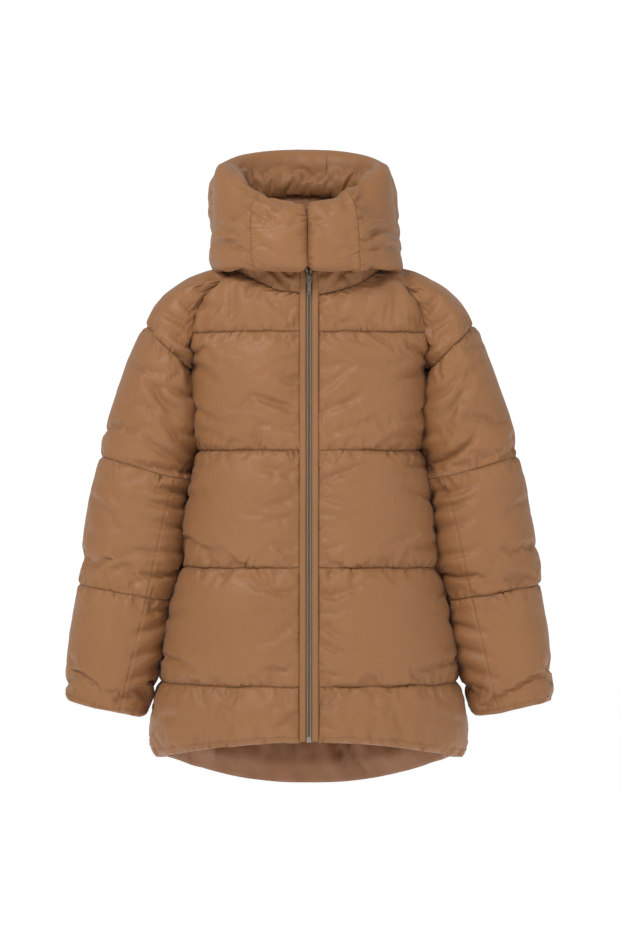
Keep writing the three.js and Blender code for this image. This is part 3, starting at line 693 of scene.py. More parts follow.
def add_puckers(points, looped, seed, strength):
    """strength is for the upper, lower, first and last seam."""
    normals = grid_normals(points, looped)
    out = pucker(points, seed, strength[0])
    out += pucker(points[::-1], seed + 31, strength[1])[::-1]
    if not looped:
        turned = points.swapaxes(0, 1)
        out += pucker(turned, seed + 57, strength[2]).swapaxes(0, 1)
        out += pucker(turned[::-1], seed + 83, strength[3])[::-1].swapaxes(0, 1)
    return points + normals * out[..., None]


# %% [markdown]
# One seam is only a line: the sleeve's lengthwise seam, which shows a little on the front from the elbow
# to the cuff. It is a narrow groove pressed into the finished grid.

# %% The lengthwise sleeve seam
SLEEVE_SEAM = np.array([(0.2035, -0.335), (0.216, -0.376), (0.240, -0.485), (0.252, -0.540), (0.288, -0.690)])
SEAM_DEPTH, SEAM_WIDTH = 0.0022, 0.0016


def line_groove(points, normals, path, depth, width):
    """A groove on the front, along a path given as x and z."""
    flat = points[..., [0, 2]]
    nearest = np.full(points.shape[:2], 9.0)
    for a, b in zip(path, path[1:]):
        t = np.clip(((flat - a) @ (b - a)) / ((b - a) @ (b - a)), 0, 1)
        nearest = np.minimum(nearest, np.linalg.norm(flat - a - t[..., None] * (b - a), axis=-1))
    facing = np.clip(-normals[..., 1] * 3, 0, 1)
    broken = 0.6 + 0.8 * np.abs(ripple(points, 0.02, 3))
    banks, valley = 0.35 * np.exp(-((nearest / (2.5 * width)) ** 2)), np.exp(-((nearest / width) ** 2))
    return facing * broken * depth * (banks - valley)


def add_sleeve_seam(name, points):
    sign = -1 if name.startswith("right") else 1
    normals = grid_normals(points, True)
    out = line_groove(points * (sign, 1, 1), normals, SLEEVE_SEAM, SEAM_DEPTH, SEAM_WIDTH)
    out[[0, -1]] = 0
    return points + normals * out[..., None]


# %% [markdown]
# ## Closing the channels
# A channel is a real pad, so the outer cloth needs an inner cloth behind it and a thin edge where the two
# are stitched together. The inner cloth is never seen, so it keeps the coarse grid, and each face of the
# edge joins one coarse step to the fine ones opposite. The mesh also gets a UV map in metres for the
# weave, and an attribute that says how near each point is to stitching. The finishes darken the cloth
# there as painted shade for the grooves along the seams.

# %% Closed pads
# painted shade: how far from a seam the cloth is darkened, for the groove there
SEAM_SHADE_REACH = 0.012  # how far from a seam the stitching still shades the cloth


def squares(rows, columns, looped):
    """Row and column of each corner of each square. On a loop, the last column number is the first again."""
    r, c = np.mgrid[0:rows - 1, 0:columns - (0 if looped else 1)]
    corners = [(r, c), (r + 1, c), (r + 1, c + 1), (r, c + 1)]
    return np.stack(corners, 0).transpose(2, 3, 0, 1).reshape(-1, 4, 2)


def rim(fine, coarse, fine_steps, looped):
    """Faces between the borders of the outer and the inner grid, as lists of (grid, row, column)."""
    rows, columns = coarse
    k_down, k_across = fine_steps
    last = fine[0] - 1
    made = []
    for j in range(columns - (0 if looped else 1)):
        span = range(j * k_across, (j + 1) * k_across + 1)
        made.append([(0, 0, k) for k in span] + [(1, 0, j + 1), (1, 0, j)])
        made.append([(0, last, k) for k in reversed(span)] + [(1, rows - 1, j), (1, rows - 1, j + 1)])
    if not looped:
        edge = fine[1] - 1
        for i in range(rows - 1):
            span = range(i * k_down, (i + 1) * k_down + 1)
            made.append([(0, k, 0) for k in reversed(span)] + [(1, i, 0), (1, i + 1, 0)])
            made.append([(0, k, edge) for k in span] + [(1, i + 1, columns - 1), (1, i, columns - 1)])
    return made


def rulers(grid, looped):
    """Lengths across and down. On a loop one more column closes the round."""
    across, down = lengths(grid)
    if looped:
        across = np.append(across, across[-1] + np.linalg.norm(grid[:, 0] - grid[:, -1], axis=1).mean())
    return across, down


def made_object(name, points, faces, uvs=None, stitched=None):
    mesh = bpy.data.meshes.new(name)
    mesh.from_pydata(points, [], faces)
    if uvs is not None:
        mesh.uv_layers.new(name="cloth").data.foreach_set("uv", np.asarray(uvs, np.float32).ravel())
    if stitched is not None:
        values = mesh.attributes.new("stitched", "FLOAT", "POINT").data
        values.foreach_set("value", np.asarray(stitched, np.float32).ravel())
    mesh.shade_smooth()
    made = bpy.data.objects.new(name, mesh)
    bpy.context.scene.collection.objects.link(made)
    return made


def closed_pad(name, outer, inner, looped):
    """Both arguments are grids of points. The outer one has a whole number of steps to each inner step."""
    shapes_of = (outer.shape[:2], inner.shape[:2])
    if looped:
        steps = ((outer.shape[0] - 1) // (inner.shape[0] - 1), outer.shape[1] // inner.shape[1])
    else:
        steps = tuple((outer.shape[k] - 1) // (inner.shape[k] - 1) for k in (0, 1))
    ruler = [rulers(grid, looped) for grid in (outer, inner)]
    first = (0, outer.shape[0] * outer.shape[1])

    def vertex(which, row, column):
        rows, columns = shapes_of[which]
        return first[which] + row * columns + column % columns

    faces, uvs = [], []
    for which in (0, 1):
        corners = squares(*shapes_of[which], looped)
        if which:
            corners = corners[:, ::-1]
        faces += vertex(which, corners[..., 0], corners[..., 1]).tolist()
        across, down = ruler[which]
        uvs.append(np.stack([across[corners[..., 1]], down[corners[..., 0]]], -1).reshape(-1, 2))
    edge_uvs = []
    for corner_list in rim(outer.shape, inner.shape[:2], steps, looped):
        faces.append([int(vertex(w, r, c)) for w, r, c in corner_list])
        edge_uvs += [(ruler[w][0][c], ruler[w][1][r]) for w, r, c in corner_list]
    uvs.append(np.array(edge_uvs))
    # how near each point is to a seam; the finishes darken the cloth there as painted shade
    near = []
    for which, grid in enumerate((outer, inner)):
        u, v = ruler[which][0][:grid.shape[1]][None, :], ruler[which][1][:, None]
        distance = np.minimum(v, v[-1] - v) + 0 * u
        if not looped:
            distance = np.minimum(distance, np.minimum(u, u[:, -1:] - u))
        near.append(np.clip(1 - distance / SEAM_SHADE_REACH, 0, 1).ravel())
    points = np.concatenate([outer.reshape(-1, 3), inner.reshape(-1, 3)]).tolist()
    return made_object(name, points, faces, np.concatenate(uvs), np.concatenate(near))


def capped_pad(name, grid):
    """A tube whose columns close on themselves and whose two ends are closed flat."""
    rows, columns = grid.shape[:2]
    corners = squares(rows, columns, True)
    faces = (corners[..., 0] * columns + corners[..., 1] % columns).tolist()
    across, down = rulers(grid, True)
    uvs = [np.stack([across[corners[..., 1]], down[corners[..., 0]]], -1).reshape(-1, 2)]
    for row, order in ((0, 1), (rows - 1, -1)):
        faces.append((row * columns + np.arange(columns)[::order]).tolist())
        uvs.append(grid[row, ::order][:, [1, 2]])
    # how near each point is to a seam; the finishes darken the cloth there as painted shade
    near = np.clip(1 - np.minimum(down, down[-1] - down) / SEAM_SHADE_REACH, 0, 1)
    points = grid.reshape(-1, 3).tolist()
    return made_object(name, points, faces, np.concatenate(uvs), np.repeat(near, columns))


def lean(points):
    """The collar stands a little to one side of the zip, most at its top. Its slit stays nearly in line."""
    x, y, z = np.moveaxis(points, -1, 0)
    front = np.clip((-0.15 - y) / 0.04, 0, 1) * np.clip(1 - np.abs(x) / 0.06, 0, 1)
    leaning = 0.004 + 0.006 * np.clip((z + 0.02) / 0.14, 0, 1)
    shift = leaning * np.clip((z + 0.03) / 0.03, 0, 1) * (1 - 0.7 * front)
    return points - shift[..., None] * (1, 0, 0)


EDGE, WADDING = 0.003, 0.006  # thickness of a pad at its seams, and how much further in its middle reaches
TITLES = {"_baffle": "_channel", "_fall": "_roll", "collar_stand": "collar_inner_stand"}
pads = {}
fine_grids = {}
for number, (c, shape) in enumerate(zip(everything, shapes)):
    strength = (0.6, 0.9, 0, 0) if "shoulder" in c.name else (1.2, 0.9, 1.0, 0.6)
    fine = add_puckers(refine(shape, c.looped), c.looped, 100 + 5 * number, strength)
    if "forearm" in c.name or "cuff" in c.name:
        fine = add_sleeve_seam(c.name, fine)
    fine_grids[c.name] = fine
    title = c.name
    for node_part, title_part in TITLES.items():
        title = title.replace(node_part, title_part)
    if c in collar_channels:
        pads[c.name] = capped_pad(title, lean(fine))
        continue
    inner = c.points - c.normals * (EDGE / 2 + c.crown(0.7, 1.3) * WADDING)[..., None]
    if c in stands:
        fine, inner = lean(fine), lean(inner)
    pads[c.name] = closed_pad(title, fine, inner, c.looped)
print(len(pads), "pads,", sum(len(p.data.polygons) for p in pads.values()), "faces")

# %% [markdown]
# ## Linings
# Inside, the coat has a plain lining of the same colour, which its finish paints darker as shade inside the
# coat. It is one thin layer that hangs in soft folds, because it is cut wider than the shell. At the hem it
# is turned in and sewn to the shell's edge. It is a sheet with a real thickness, built on the same rings
# and set in from them.

# %% Lining sheets
LINING_DEPTH, SLEEVE_LINING_DEPTH, CLOTH_THICKNESS = 0.012, 0.0095, 0.0012


def lining(name, points, looped, mirror, depth, hem=False, folds=0.0035):
    """Gives back the sheet, the flat size it is cut to, and its area."""
    if mirror:
        points = (points * (-1, 1, 1))[:, ::-1]
    normals = grid_normals(points, looped)
    v = np.linspace(0, 1, points.shape[0])[:, None]
    broad, narrow = ripple(points * (1, 1, 0.3), 0.04, 77), ripple(points * (1, 1, 0.6), 0.018, 31)
    soft = broad * folds * 1.8 + narrow * folds * 0.4
    set_in = depth + soft * np.clip(np.sin(np.pi * v) * 2, 0.15, 1)
    if hem:  # billows with creases between them, which the hem's stitching holds down at the very edge
        slanted = points * (1, 1, 0.25) + points[..., 2:] * (0.3, 0, 0)
        billow = np.abs(ripple(slanted, 0.034, 77)) ** 0.6 + 0.3 * np.abs(ripple(slanted, 0.015, 13)) ** 0.7
        near = np.clip((v - 0.965) / 0.035, 0, 1)
        loose = set_in + 0.028 * billow * np.clip((v - 0.6) / 0.25, 0, 1)
        set_in = loose * (1 - near) + (0.0045 + 0.004 * billow) * near
    middle = points - normals * set_in[..., None]
    half = CLOTH_THICKNESS / 2
    title = name.replace("_lining", "_lining_cloth")
    sheet = closed_pad(title, middle + normals * half, middle - normals * half, looped)
    across, down = rulers(middle, looped)
    height = np.linalg.norm(np.diff(middle, axis=0), axis=2).mean(0).mean() * (len(middle) - 1)
    return sheet, (float(across[-1]), float(down[-1])), float(height * across[-1])


def body_grid(levels, from_angle, to_angle, columns):
    level = np.array(levels)[:, None]
    angle = from_angle(level) + (to_angle(level) - from_angle(level)) * np.linspace(0, 1, columns)[None, :]
    return body_point(level, angle)


def tube_grid(surface, rows, columns=88):
    u, v = np.broadcast_arrays(np.arange(columns)[None, :] / columns, np.array(rows)[:, None])
    return surface(u, v)[:, ::-1]


def forearm_inside(u, t):
    """One surface from the elbow seam, where t is 0, past the next one at 1, to the cuff at 2."""
    first = sleeve_point(1, u, np.clip(t, 0, 1))
    return np.where((t < 1)[..., None], first, sleeve_point(2, u, np.clip(t - 1, 0, 1)))


LINING_LEVELS = np.concatenate([np.linspace(0.15, YOKE, 14), np.linspace(YOKE, HEM, 120)[1:]])
SLEEVE_LININGS = (
    ("shoulder", shoulder_point, np.linspace(0.42, 0.9, 14)),
    ("upper_arm", partial(sleeve_point, 0), np.linspace(0.06, 0.96, 32)),
    ("forearm", forearm_inside, np.linspace(0.04, 1.86, 50)),
)
linings = {}
for side in ("left", "right"):
    mirror = side == "right"
    front = body_grid(LINING_LEVELS, zip_angle, raglan_angle, 48)
    linings[f"{side}_front_lining"] = lining(
        f"{side}_front_lining", front, False, mirror, LINING_DEPTH, hem=True)
    for name, surface, rows in SLEEVE_LININGS:
        linings[f"{side}_{name}_lining"] = lining(
            f"{side}_{name}_lining", tube_grid(surface, rows), True, mirror, SLEEVE_LINING_DEPTH, folds=0.002)
linings["back_lining"] = lining(
    "back_lining", body_grid(LINING_LEVELS, back_from, back_to, 100), False, False, LINING_DEPTH, hem=True)
print(len(linings), "lining sheets, the back one %.2f by %.2f m" % linings["back_lining"][1])

# %% [markdown]
# Each cuff ends in a soft knitted band, tucked up inside it. Its ribs are real: the wall swells and sinks
# once for each rib.

# %% Knitted bands in the cuffs
RIBS, RIB_HEIGHT, BAND_DEPTH, BAND_THICKNESS = 64, 0.0005, 0.009, 0.002


def cuff_band(name, mirror):
    rows, columns = np.linspace(0.87, 0.99, 12), RIBS * 6
    points = tube_grid(partial(sleeve_point, 2), rows, columns)
    if mirror:
        points = (points * (-1, 1, 1))[:, ::-1]
    normals = grid_normals(points, True)
    rib = RIB_HEIGHT * np.cos(2 * np.pi * RIBS * np.arange(columns) / columns)[None, :]
    middle = points - normals * BAND_DEPTH
    wall = normals * (BAND_THICKNESS / 2 + rib)[..., None]
    return closed_pad(name, middle + wall, middle - wall, True)


bands = {f"{side}_cuff_band": cuff_band(f"{side}_cuff_knit", side == "right") for side in ("left", "right")}
print(len(bands), "knitted bands with", RIBS, "ribs each")

# %% [markdown]
# ## The front zip
# The zip leans back in one straight line, so its pieces are worked out upright in millimetres, round the
# slider's place, and then tilted as a whole. Each tooth is a small rounded bar that reaches past the
# middle, and the two rows are half a step apart, so they interlock as on a real metal zip.

# %% Placing the zip
SLIDER_Z = -0.032
ZIP_TILT = Matrix.Rotation(-math.atan(FRONT_SLOPE), 4, "X")
ZIP_PLACE = Matrix.Translation((0, front_y(SLIDER_Z), SLIDER_Z)) @ ZIP_TILT
ZIP_TURN = np.array(ZIP_PLACE.to_3x3())


def on_zip(points):
    """From the zip's own millimetres to the coat's metres."""
    return np.asarray(points, float) / 1000 @ ZIP_TURN.T + np.array(ZIP_PLACE.translation)


# %% [markdown]
# Geometry Nodes set one tooth or one stitch on every point of a path. The tree takes the sizes as inputs,
# ends in real geometry, and is turned into a plain mesh at once.

# %% A tree that sets small bars along a path
def tree_with(name, sizes):
    tree = bpy.data.node_groups.new(name, "GeometryNodeTree")
    tree.interface.new_socket("Geometry", in_out="INPUT", socket_type="NodeSocketGeometry")
    for label, value in sizes.items():
        kind = "NodeSocketMaterial" if label == "Finish" else "NodeSocketFloat"
        socket = tree.interface.new_socket(label, in_out="INPUT", socket_type=kind)
        if value is not None:
            socket.default_value = value
    tree.interface.new_socket("Geometry", in_out="OUTPUT", socket_type="NodeSocketGeometry")
    return tree


def set_along(tree, points, bar, sizes, smooth, rotation=None):
    """Sets a bar on every point, scales it by three of the inputs, makes it real and adds its finish."""
    new, join = tree.nodes.new, tree.links.new
    given, result = new("NodeGroupInput"), new("NodeGroupOutput")
    size, place = new("ShaderNodeCombineXYZ"), new("GeometryNodeInstanceOnPoints")
    real, shading, finish = (
        new("GeometryNode" + kind) for kind in ("RealizeInstances", "SetShadeSmooth", "SetMaterial"))
    for axis, label in zip("XYZ", sizes):
        join(given.outputs[label], size.inputs[axis])
    join(points, place.inputs["Points"])
    join(bar, place.inputs["Instance"])
    join(size.outputs["Vector"], place.inputs["Scale"])
    if rotation is not None:
        join(rotation, place.inputs["Rotation"])
    join(place.outputs["Instances"], real.inputs["Geometry"])
    join(real.outputs["Geometry"], shading.inputs["Geometry"])
    shading.inputs["Shade Smooth"].default_value = smooth
    join(shading.outputs["Geometry"], finish.inputs["Geometry"])
    join(given.outputs["Finish"], finish.inputs["Material"])
    join(finish.outputs["Geometry"], result.inputs["Geometry"])


def teeth_tree():
    """Every tooth is a ten-sided bar that lies across the zip."""
    tree = tree_with("zip teeth", {"Length": 0.0037, "Height": 0.0015, "Depth": 0.0031, "Finish": None})
    given = tree.nodes.new("NodeGroupInput")
    bar, turn = tree.nodes.new("GeometryNodeMeshCylinder"), tree.nodes.new("GeometryNodeTransform")
    for label, value in (("Vertices", 10), ("Side Segments", 1), ("Radius", 0.5), ("Depth", 1)):
        bar.inputs[label].default_value = value
    turn.inputs["Rotation"].default_value = (0, math.pi / 2, 0)
    tree.links.new(bar.outputs["Mesh"], turn.inputs["Geometry"])
    set_along(tree, given.outputs["Geometry"], turn.outputs["Geometry"], ("Length", "Depth", "Height"), False)
    return tree


def stitch_tree():
    """Every stitch is a small bead, drawn out along the path."""
    tree = tree_with("stitches", {"Spacing": 0.0036, "Thickness": 0.0006, "Stitch": 0.0026, "Finish": None})
    new, join = tree.nodes.new, tree.links.new
    given, bead = new("NodeGroupInput"), new("GeometryNodeMeshUVSphere")
    curve, even = new("GeometryNodeMeshToCurve"), new("GeometryNodeResampleCurve")
    tangent, turn = new("GeometryNodeInputTangent"), new("FunctionNodeAlignRotationToVector")
    even.mode, turn.axis = "LENGTH", "Z"
    for label, value in (("Segments", 6), ("Rings", 5), ("Radius", 0.5)):
        bead.inputs[label].default_value = value
    join(given.outputs["Geometry"], curve.inputs["Mesh"])
    join(curve.outputs["Curve"], even.inputs["Curve"])
    join(given.outputs["Spacing"], even.inputs["Length"])
    join(tangent.outputs["Tangent"], turn.inputs["Vector"])
    sizes = ("Thickness", "Thickness", "Stitch")
    set_along(tree, even.outputs["Curve"], bead.outputs["Mesh"], sizes, True, turn.outputs["Rotation"])
    return tree


def paths_object(name, paths):
    """A mesh of loose edges, one string for each path."""
    points, edges = [], []
    for path in paths:
        first = len(points)
        points += np.asarray(path).tolist()
        edges += [(k, k + 1) for k in range(first, first + len(path) - 1)]
    mesh = bpy.data.meshes.new(name)
    mesh.from_pydata(points, edges, [])
    made = bpy.data.objects.new(name, mesh)
    bpy.context.scene.collection.objects.link(made)
    return made


def grow(obj, tree, values):
    """Runs a tree on an object and keeps the result as its plain mesh."""
    modifier = obj.modifiers.new("grow", "NODES")
    modifier.node_group = tree
    for item in tree.interface.items_tree:
        if item.in_out == "INPUT" and item.name in values:
            modifier[item.identifier] = values[item.name]
    bpy.context.view_layer.update()
    evaluated = obj.evaluated_get(bpy.context.evaluated_depsgraph_get())
    finished = bpy.data.meshes.new_from_object(evaluated)
    obj.modifiers.remove(modifier)
    obj.data = finished
    return obj


# %% [markdown]
# ## Finishes
# The shell is a thin, dense, slightly shiny synthetic. Close up it has a fine weave and countless tiny
# crinkles, and its colour shifts a little from place to place. Effects that several finishes share are
# node groups. They give only heights, masks and colours, and each material keeps its own shader.

# %% Shared effects as node groups
def shader_group(name, inputs, outputs):
    tree = bpy.data.node_groups.new(name, "ShaderNodeTree")
    for label, kind, value in inputs:
        socket = tree.interface.new_socket(label, in_out="INPUT", socket_type=kind)
        if value is not None:
            socket.default_value = value
    for label, kind in outputs:
        tree.interface.new_socket(label, in_out="OUTPUT", socket_type=kind)
    return tree, tree.nodes.new("NodeGroupInput"), tree.nodes.new("NodeGroupOutput")


def feed(tree, socket, value):
    """Links a value that comes from a node, and sets one that is a plain number or colour."""
    if isinstance(value, bpy.types.NodeSocket):
        tree.links.new(value, socket)
    else:
        socket.default_value = value


def math_node(tree, operation, *values):
    node = tree.nodes.new("ShaderNodeMath")
    node.operation = operation
    for socket, value in zip(node.inputs, values):
        feed(tree, socket, value)
    return node.outputs[0]


def noise_node(tree, vector, scale, detail, distortion):
    node = tree.nodes.new("ShaderNodeTexNoise")
    values = {"Vector": vector, "Scale": scale, "Detail": detail, "Distortion": distortion}
    for label, value in values.items():
        feed(tree, node.inputs[label], value)
    return node.outputs["Fac"]


def mix_node(tree, share, first, second):
    """A colour that is the first where share is 0, and the second where it is 1."""
    node = tree.nodes.new("ShaderNodeMix")
    node.data_type = "RGBA"
    for label, value in (("Factor", share), ("A", first), ("B", second)):
        feed(tree, node.inputs[label], value)
    return node.outputs["Result"]


def add_bump(tree, shader, height):
    """Turns a height in metres into a bump on a shader."""
    bump = tree.nodes.new("ShaderNodeBump")
    bump.inputs["Strength"].default_value = 1.0
    bump.inputs["Distance"].default_value = 1.0
    tree.links.new(height, bump.inputs["Height"])
    tree.links.new(bump.outputs["Normal"], shader.inputs["Normal"])


def weave_group():
    """A plain weave: two sets of threads whose crossings alternate."""
    tree, given, result = shader_group(
        "weave", [("Cloth", "NodeSocketVector", None), ("Threads per metre", "NodeSocketFloat", 2400.0)],
        [("Height", "NodeSocketFloat"), ("Thread", "NodeSocketFloat")])
    split = tree.nodes.new("ShaderNodeSeparateXYZ")
    tree.links.new(given.outputs["Cloth"], split.inputs[0])
    turn = math_node(tree, "MULTIPLY", given.outputs["Threads per metre"], math.pi)
    along = math_node(tree, "SINE", math_node(tree, "MULTIPLY", split.outputs["X"], turn))
    over = math_node(tree, "SINE", math_node(tree, "MULTIPLY", split.outputs["Y"], turn))
    crossing = math_node(tree, "MULTIPLY", along, over)
    tree.links.new(math_node(tree, "MULTIPLY_ADD", crossing, 0.5, 0.5), result.inputs["Height"])
    tree.links.new(math_node(tree, "ABSOLUTE", crossing), result.inputs["Thread"])
    return tree


def crinkle_group():
    """Fine crinkles: sharp little ridges where two scales of noise pass through their middle value."""
    tree, given, result = shader_group(
        "crinkle", [("Place", "NodeSocketVector", None), ("Scale", "NodeSocketFloat", 70.0)],
        [("Height", "NodeSocketFloat"), ("Mask", "NodeSocketFloat")])
    parts = []
    for factor, detail, distortion in ((1.0, 2.0, 1.2), (2.6, 2.0, 0.8)):
        scale = math_node(tree, "MULTIPLY", given.outputs["Scale"], factor)
        value = noise_node(tree, given.outputs["Place"], scale, detail, distortion)
        ridge = math_node(tree, "ABSOLUTE", math_node(tree, "SUBTRACT", value, 0.5))
        parts.append(math_node(tree, "MINIMUM", math_node(tree, "MULTIPLY", ridge, 6.0), 1.0))
    broad, fine = (math_node(tree, "MULTIPLY", part, share) for part, share in zip(parts, (0.7, 0.3)))
    both = math_node(tree, "ADD", broad, fine)
    tree.links.new(both, result.inputs["Height"])
    tree.links.new(math_node(tree, "SUBTRACT", 1.0, both), result.inputs["Mask"])
    return tree


def tone_group():
    """A colour that drifts a little lighter and darker, and darkens where Shade is 1."""
    tree, given, result = shader_group(
        "tone", [("Place", "NodeSocketVector", None), ("Light", "NodeSocketColor", None),
                 ("Dark", "NodeSocketColor", None), ("Scale", "NodeSocketFloat", 9.0),
                 ("Shade", "NodeSocketFloat", 0.0)],
        [("Color", "NodeSocketColor"), ("Drift", "NodeSocketFloat")])
    drift = noise_node(tree, given.outputs["Place"], given.outputs["Scale"], 4.0, 0.3)
    spread = math_node(tree, "MULTIPLY", math_node(tree, "SUBTRACT", drift, 0.35), 1.1)
    amount = math_node(tree, "ADD", spread, given.outputs["Shade"])
    held = math_node(tree, "MINIMUM", math_node(tree, "MAXIMUM", amount, 0.0), 1.0)
    mixed = mix_node(tree, held, given.outputs["Light"], given.outputs["Dark"])
    tree.links.new(mixed, result.inputs["Color"])
    tree.links.new(drift, result.inputs["Drift"])
    return tree


WEAVE, CRINKLE, TONE = weave_group(), crinkle_group(), tone_group()
print("effects:", [g.name for g in (WEAVE, CRINKLE, TONE)])

# %% Cloth finishes
def group_node(tree, group, **values):
    node = tree.nodes.new("ShaderNodeGroup")
    node.node_tree = group
    for label, value in values.items():
        feed(tree, node.inputs[label.replace("_", " ")], value)
    return node


def cloth(name, light, dark, roughness=0.48, sheen=0.12, threads=2400.0, weave=0.00003,
          crinkle=0.00028, scale=80.0, shade=0.3, uses_map=True):
    """A woven finish. The two heights are in metres; shade is how strongly the cloth is darkened beside the
    seams, as painted shade for their grooves.
    """
    made = bpy.data.materials.new(name)
    made.use_nodes = True
    tree = made.node_tree
    shader = tree.nodes["Principled BSDF"]
    place = tree.nodes.new("ShaderNodeTexCoord").outputs["Object"]
    surface = place
    if uses_map:
        unwrapped = tree.nodes.new("ShaderNodeUVMap")
        unwrapped.uv_map = "cloth"
        surface = unwrapped.outputs["UV"]
    near = tree.nodes.new("ShaderNodeAttribute")
    near.attribute_name = "stitched"
    # painted shade: darker beside the seams, where their grooves lie
    shaded = math_node(tree, "MULTIPLY", near.outputs["Fac"], shade)
    tone = group_node(tree, TONE, Place=place, Light=(*light, 1), Dark=(*dark, 1), Shade=shaded)
    weaving = group_node(tree, WEAVE, Cloth=surface, Threads_per_metre=threads)
    crinkles = group_node(tree, CRINKLE, Place=place, Scale=scale)
    tree.links.new(tone.outputs["Color"], shader.inputs["Base Color"])
    drifting = math_node(tree, "MULTIPLY", tone.outputs["Drift"], 0.12)
    low = math_node(tree, "MULTIPLY", crinkles.outputs["Mask"], 0.10)
    rough = math_node(tree, "ADD", drifting, math_node(tree, "ADD", low, roughness - 0.10))
    tree.links.new(rough, shader.inputs["Roughness"])
    threads_up = math_node(tree, "MULTIPLY", weaving.outputs["Height"], weave)
    ridges_up = math_node(tree, "MULTIPLY", crinkles.outputs["Height"], crinkle)
    add_bump(tree, shader, math_node(tree, "ADD", threads_up, ridges_up))
    shader.inputs["Sheen Weight"].default_value = sheen
    shader.inputs["Sheen Roughness"].default_value = 0.4
    shader.inputs["Specular IOR Level"].default_value = 0.3
    return made


CARAMEL, CARAMEL_DEEP = (0.288, 0.130, 0.050), (0.238, 0.103, 0.038)
# the shell's caramel, darkened as painted shade for the lining and the flap inside the coat
CARAMEL_IN_SHADE, CARAMEL_IN_SHADE_DEEP = (0.225, 0.092, 0.034), (0.175, 0.070, 0.026)
FOLDED = {"crinkle": 0.0003, "scale": 160.0, "uses_map": False}
FLAT = {"crinkle": 0.0, "shade": 0.0, "uses_map": False}
shell_cloth = cloth("caramel shell cloth", CARAMEL, CARAMEL_DEEP)
welt_cloth = cloth("folded edge cloth", CARAMEL, CARAMEL_DEEP, **FOLDED)
lining_cloth = cloth(
    "lining cloth", CARAMEL_IN_SHADE, CARAMEL_IN_SHADE_DEEP, roughness=0.42, sheen=0.1, crinkle=0.0002, scale=55.0)
flap_cloth = cloth("flap cloth", CARAMEL_IN_SHADE, CARAMEL_IN_SHADE_DEEP, **FOLDED)
tape_cloth = cloth(
    "zip tape cloth", (0.210, 0.112, 0.064), (0.160, 0.084, 0.048),
    roughness=0.8, sheen=0.3, threads=1500.0, weave=0.00012, **FLAT)
trim_cloth = cloth(
    "twill trim cloth", (0.190, 0.092, 0.045), (0.140, 0.068, 0.034),
    roughness=0.8, sheen=0.3, threads=1300.0, weave=0.00015, **FLAT)
knit_cloth = cloth(
    "ribbed knit", (0.180, 0.085, 0.040), (0.130, 0.062, 0.030),
    roughness=0.9, sheen=0.4, threads=1100.0, weave=0.0002, crinkle=0.0002, scale=300.0)
label_cloth = cloth(
    "label satin", (0.095, 0.060, 0.038), (0.075, 0.047, 0.030),
    roughness=0.45, sheen=0.2, threads=3000.0, weave=0.00004, **FLAT)
thread = cloth(
    "thread", (0.225, 0.105, 0.048), (0.180, 0.082, 0.037),
    roughness=0.6, sheen=0.3, threads=2600.0, weave=0.0001, **FLAT)

# %% [markdown]
# The zip is antique nickel: a warm grey metal whose tone drifts at random from brighter to duller. Down the
# middle of the teeth, where the two rows mesh, it is painted near black as shade.

# %% Zip metal
# painted shade: near black in the middle of the zip, fading out between these distances from it, in metres
GAP_SHADE_COLOUR, GAP_SHADE_EDGE = (0.035, 0.028, 0.022), (0.0005, 0.0014)


def metal(name, worn, dull, teeth_with_gap_shade=False):
    """A worn metal whose tone drifts at random. On the teeth, the middle of the zip, where the two rows mesh,
    gets a near-black painted shade and a rougher finish.
    """
    made = bpy.data.materials.new(name)
    made.use_nodes = True
    tree = made.node_tree
    shader = tree.nodes["Principled BSDF"]
    place = tree.nodes.new("ShaderNodeTexCoord").outputs["Object"]
    tone = group_node(tree, TONE, Place=place, Light=(*worn, 1), Dark=(*dull, 1), Scale=420.0)
    colour = tone.outputs["Color"]
    if teeth_with_gap_shade:
        # painted shade where the two rows of teeth mesh
        apart = tree.nodes.new("ShaderNodeSeparateXYZ")
        tree.links.new(place, apart.inputs[0])
        outer = tree.nodes.new("ShaderNodeMapRange")
        outer.interpolation_type = "SMOOTHSTEP"
        outer.inputs["From Min"].default_value, outer.inputs["From Max"].default_value = GAP_SHADE_EDGE
        tree.links.new(math_node(tree, "ABSOLUTE", apart.outputs["X"]), outer.inputs["Value"])
        colour = mix_node(tree, outer.outputs["Result"], (*GAP_SHADE_COLOUR, 1), colour)
    tree.links.new(colour, shader.inputs["Base Color"])
    drifting = math_node(tree, "MULTIPLY", tone.outputs["Drift"], 0.30)
    tree.links.new(math_node(tree, "ADD", drifting, 0.38 if teeth_with_gap_shade else 0.22), shader.inputs["Roughness"])
    shader.inputs["Metallic"].default_value = 1.0
    scratches = noise_node(tree, place, 2600.0, 4.0, 0.6)
    add_bump(tree, shader, math_node(tree, "MULTIPLY", scratches, 0.00004))
    return made


zip_metal = metal("antique nickel", (0.46, 0.41, 0.35), (0.24, 0.20, 0.165))
tooth_metal = metal("worn nickel teeth", (0.92, 0.80, 0.62), (0.50, 0.42, 0.32), teeth_with_gap_shade=True)
slider_metal = metal("dark nickel", (0.30, 0.265, 0.23), (0.16, 0.14, 0.12))

# %% The two rows of teeth
PITCH, REACH = 2.9, 0.95  # a tooth's middle is this far from the centre of the zip, in millimetres
PARTING, PARTING_START, PART_HEIGHT = 3.6, 8.0, 17.0  # above the slider the two rows part
LOWEST_TOOTH = -684.6


def tooth_places(side, bottom):
    height = np.arange(bottom, PART_HEIGHT - 0.5, PITCH)
    apart = np.interp(height, [PARTING_START, PART_HEIGHT], [0, PARTING])
    x = side * (REACH + apart)
    return on_zip(np.stack([x, np.zeros_like(height), height], -1))


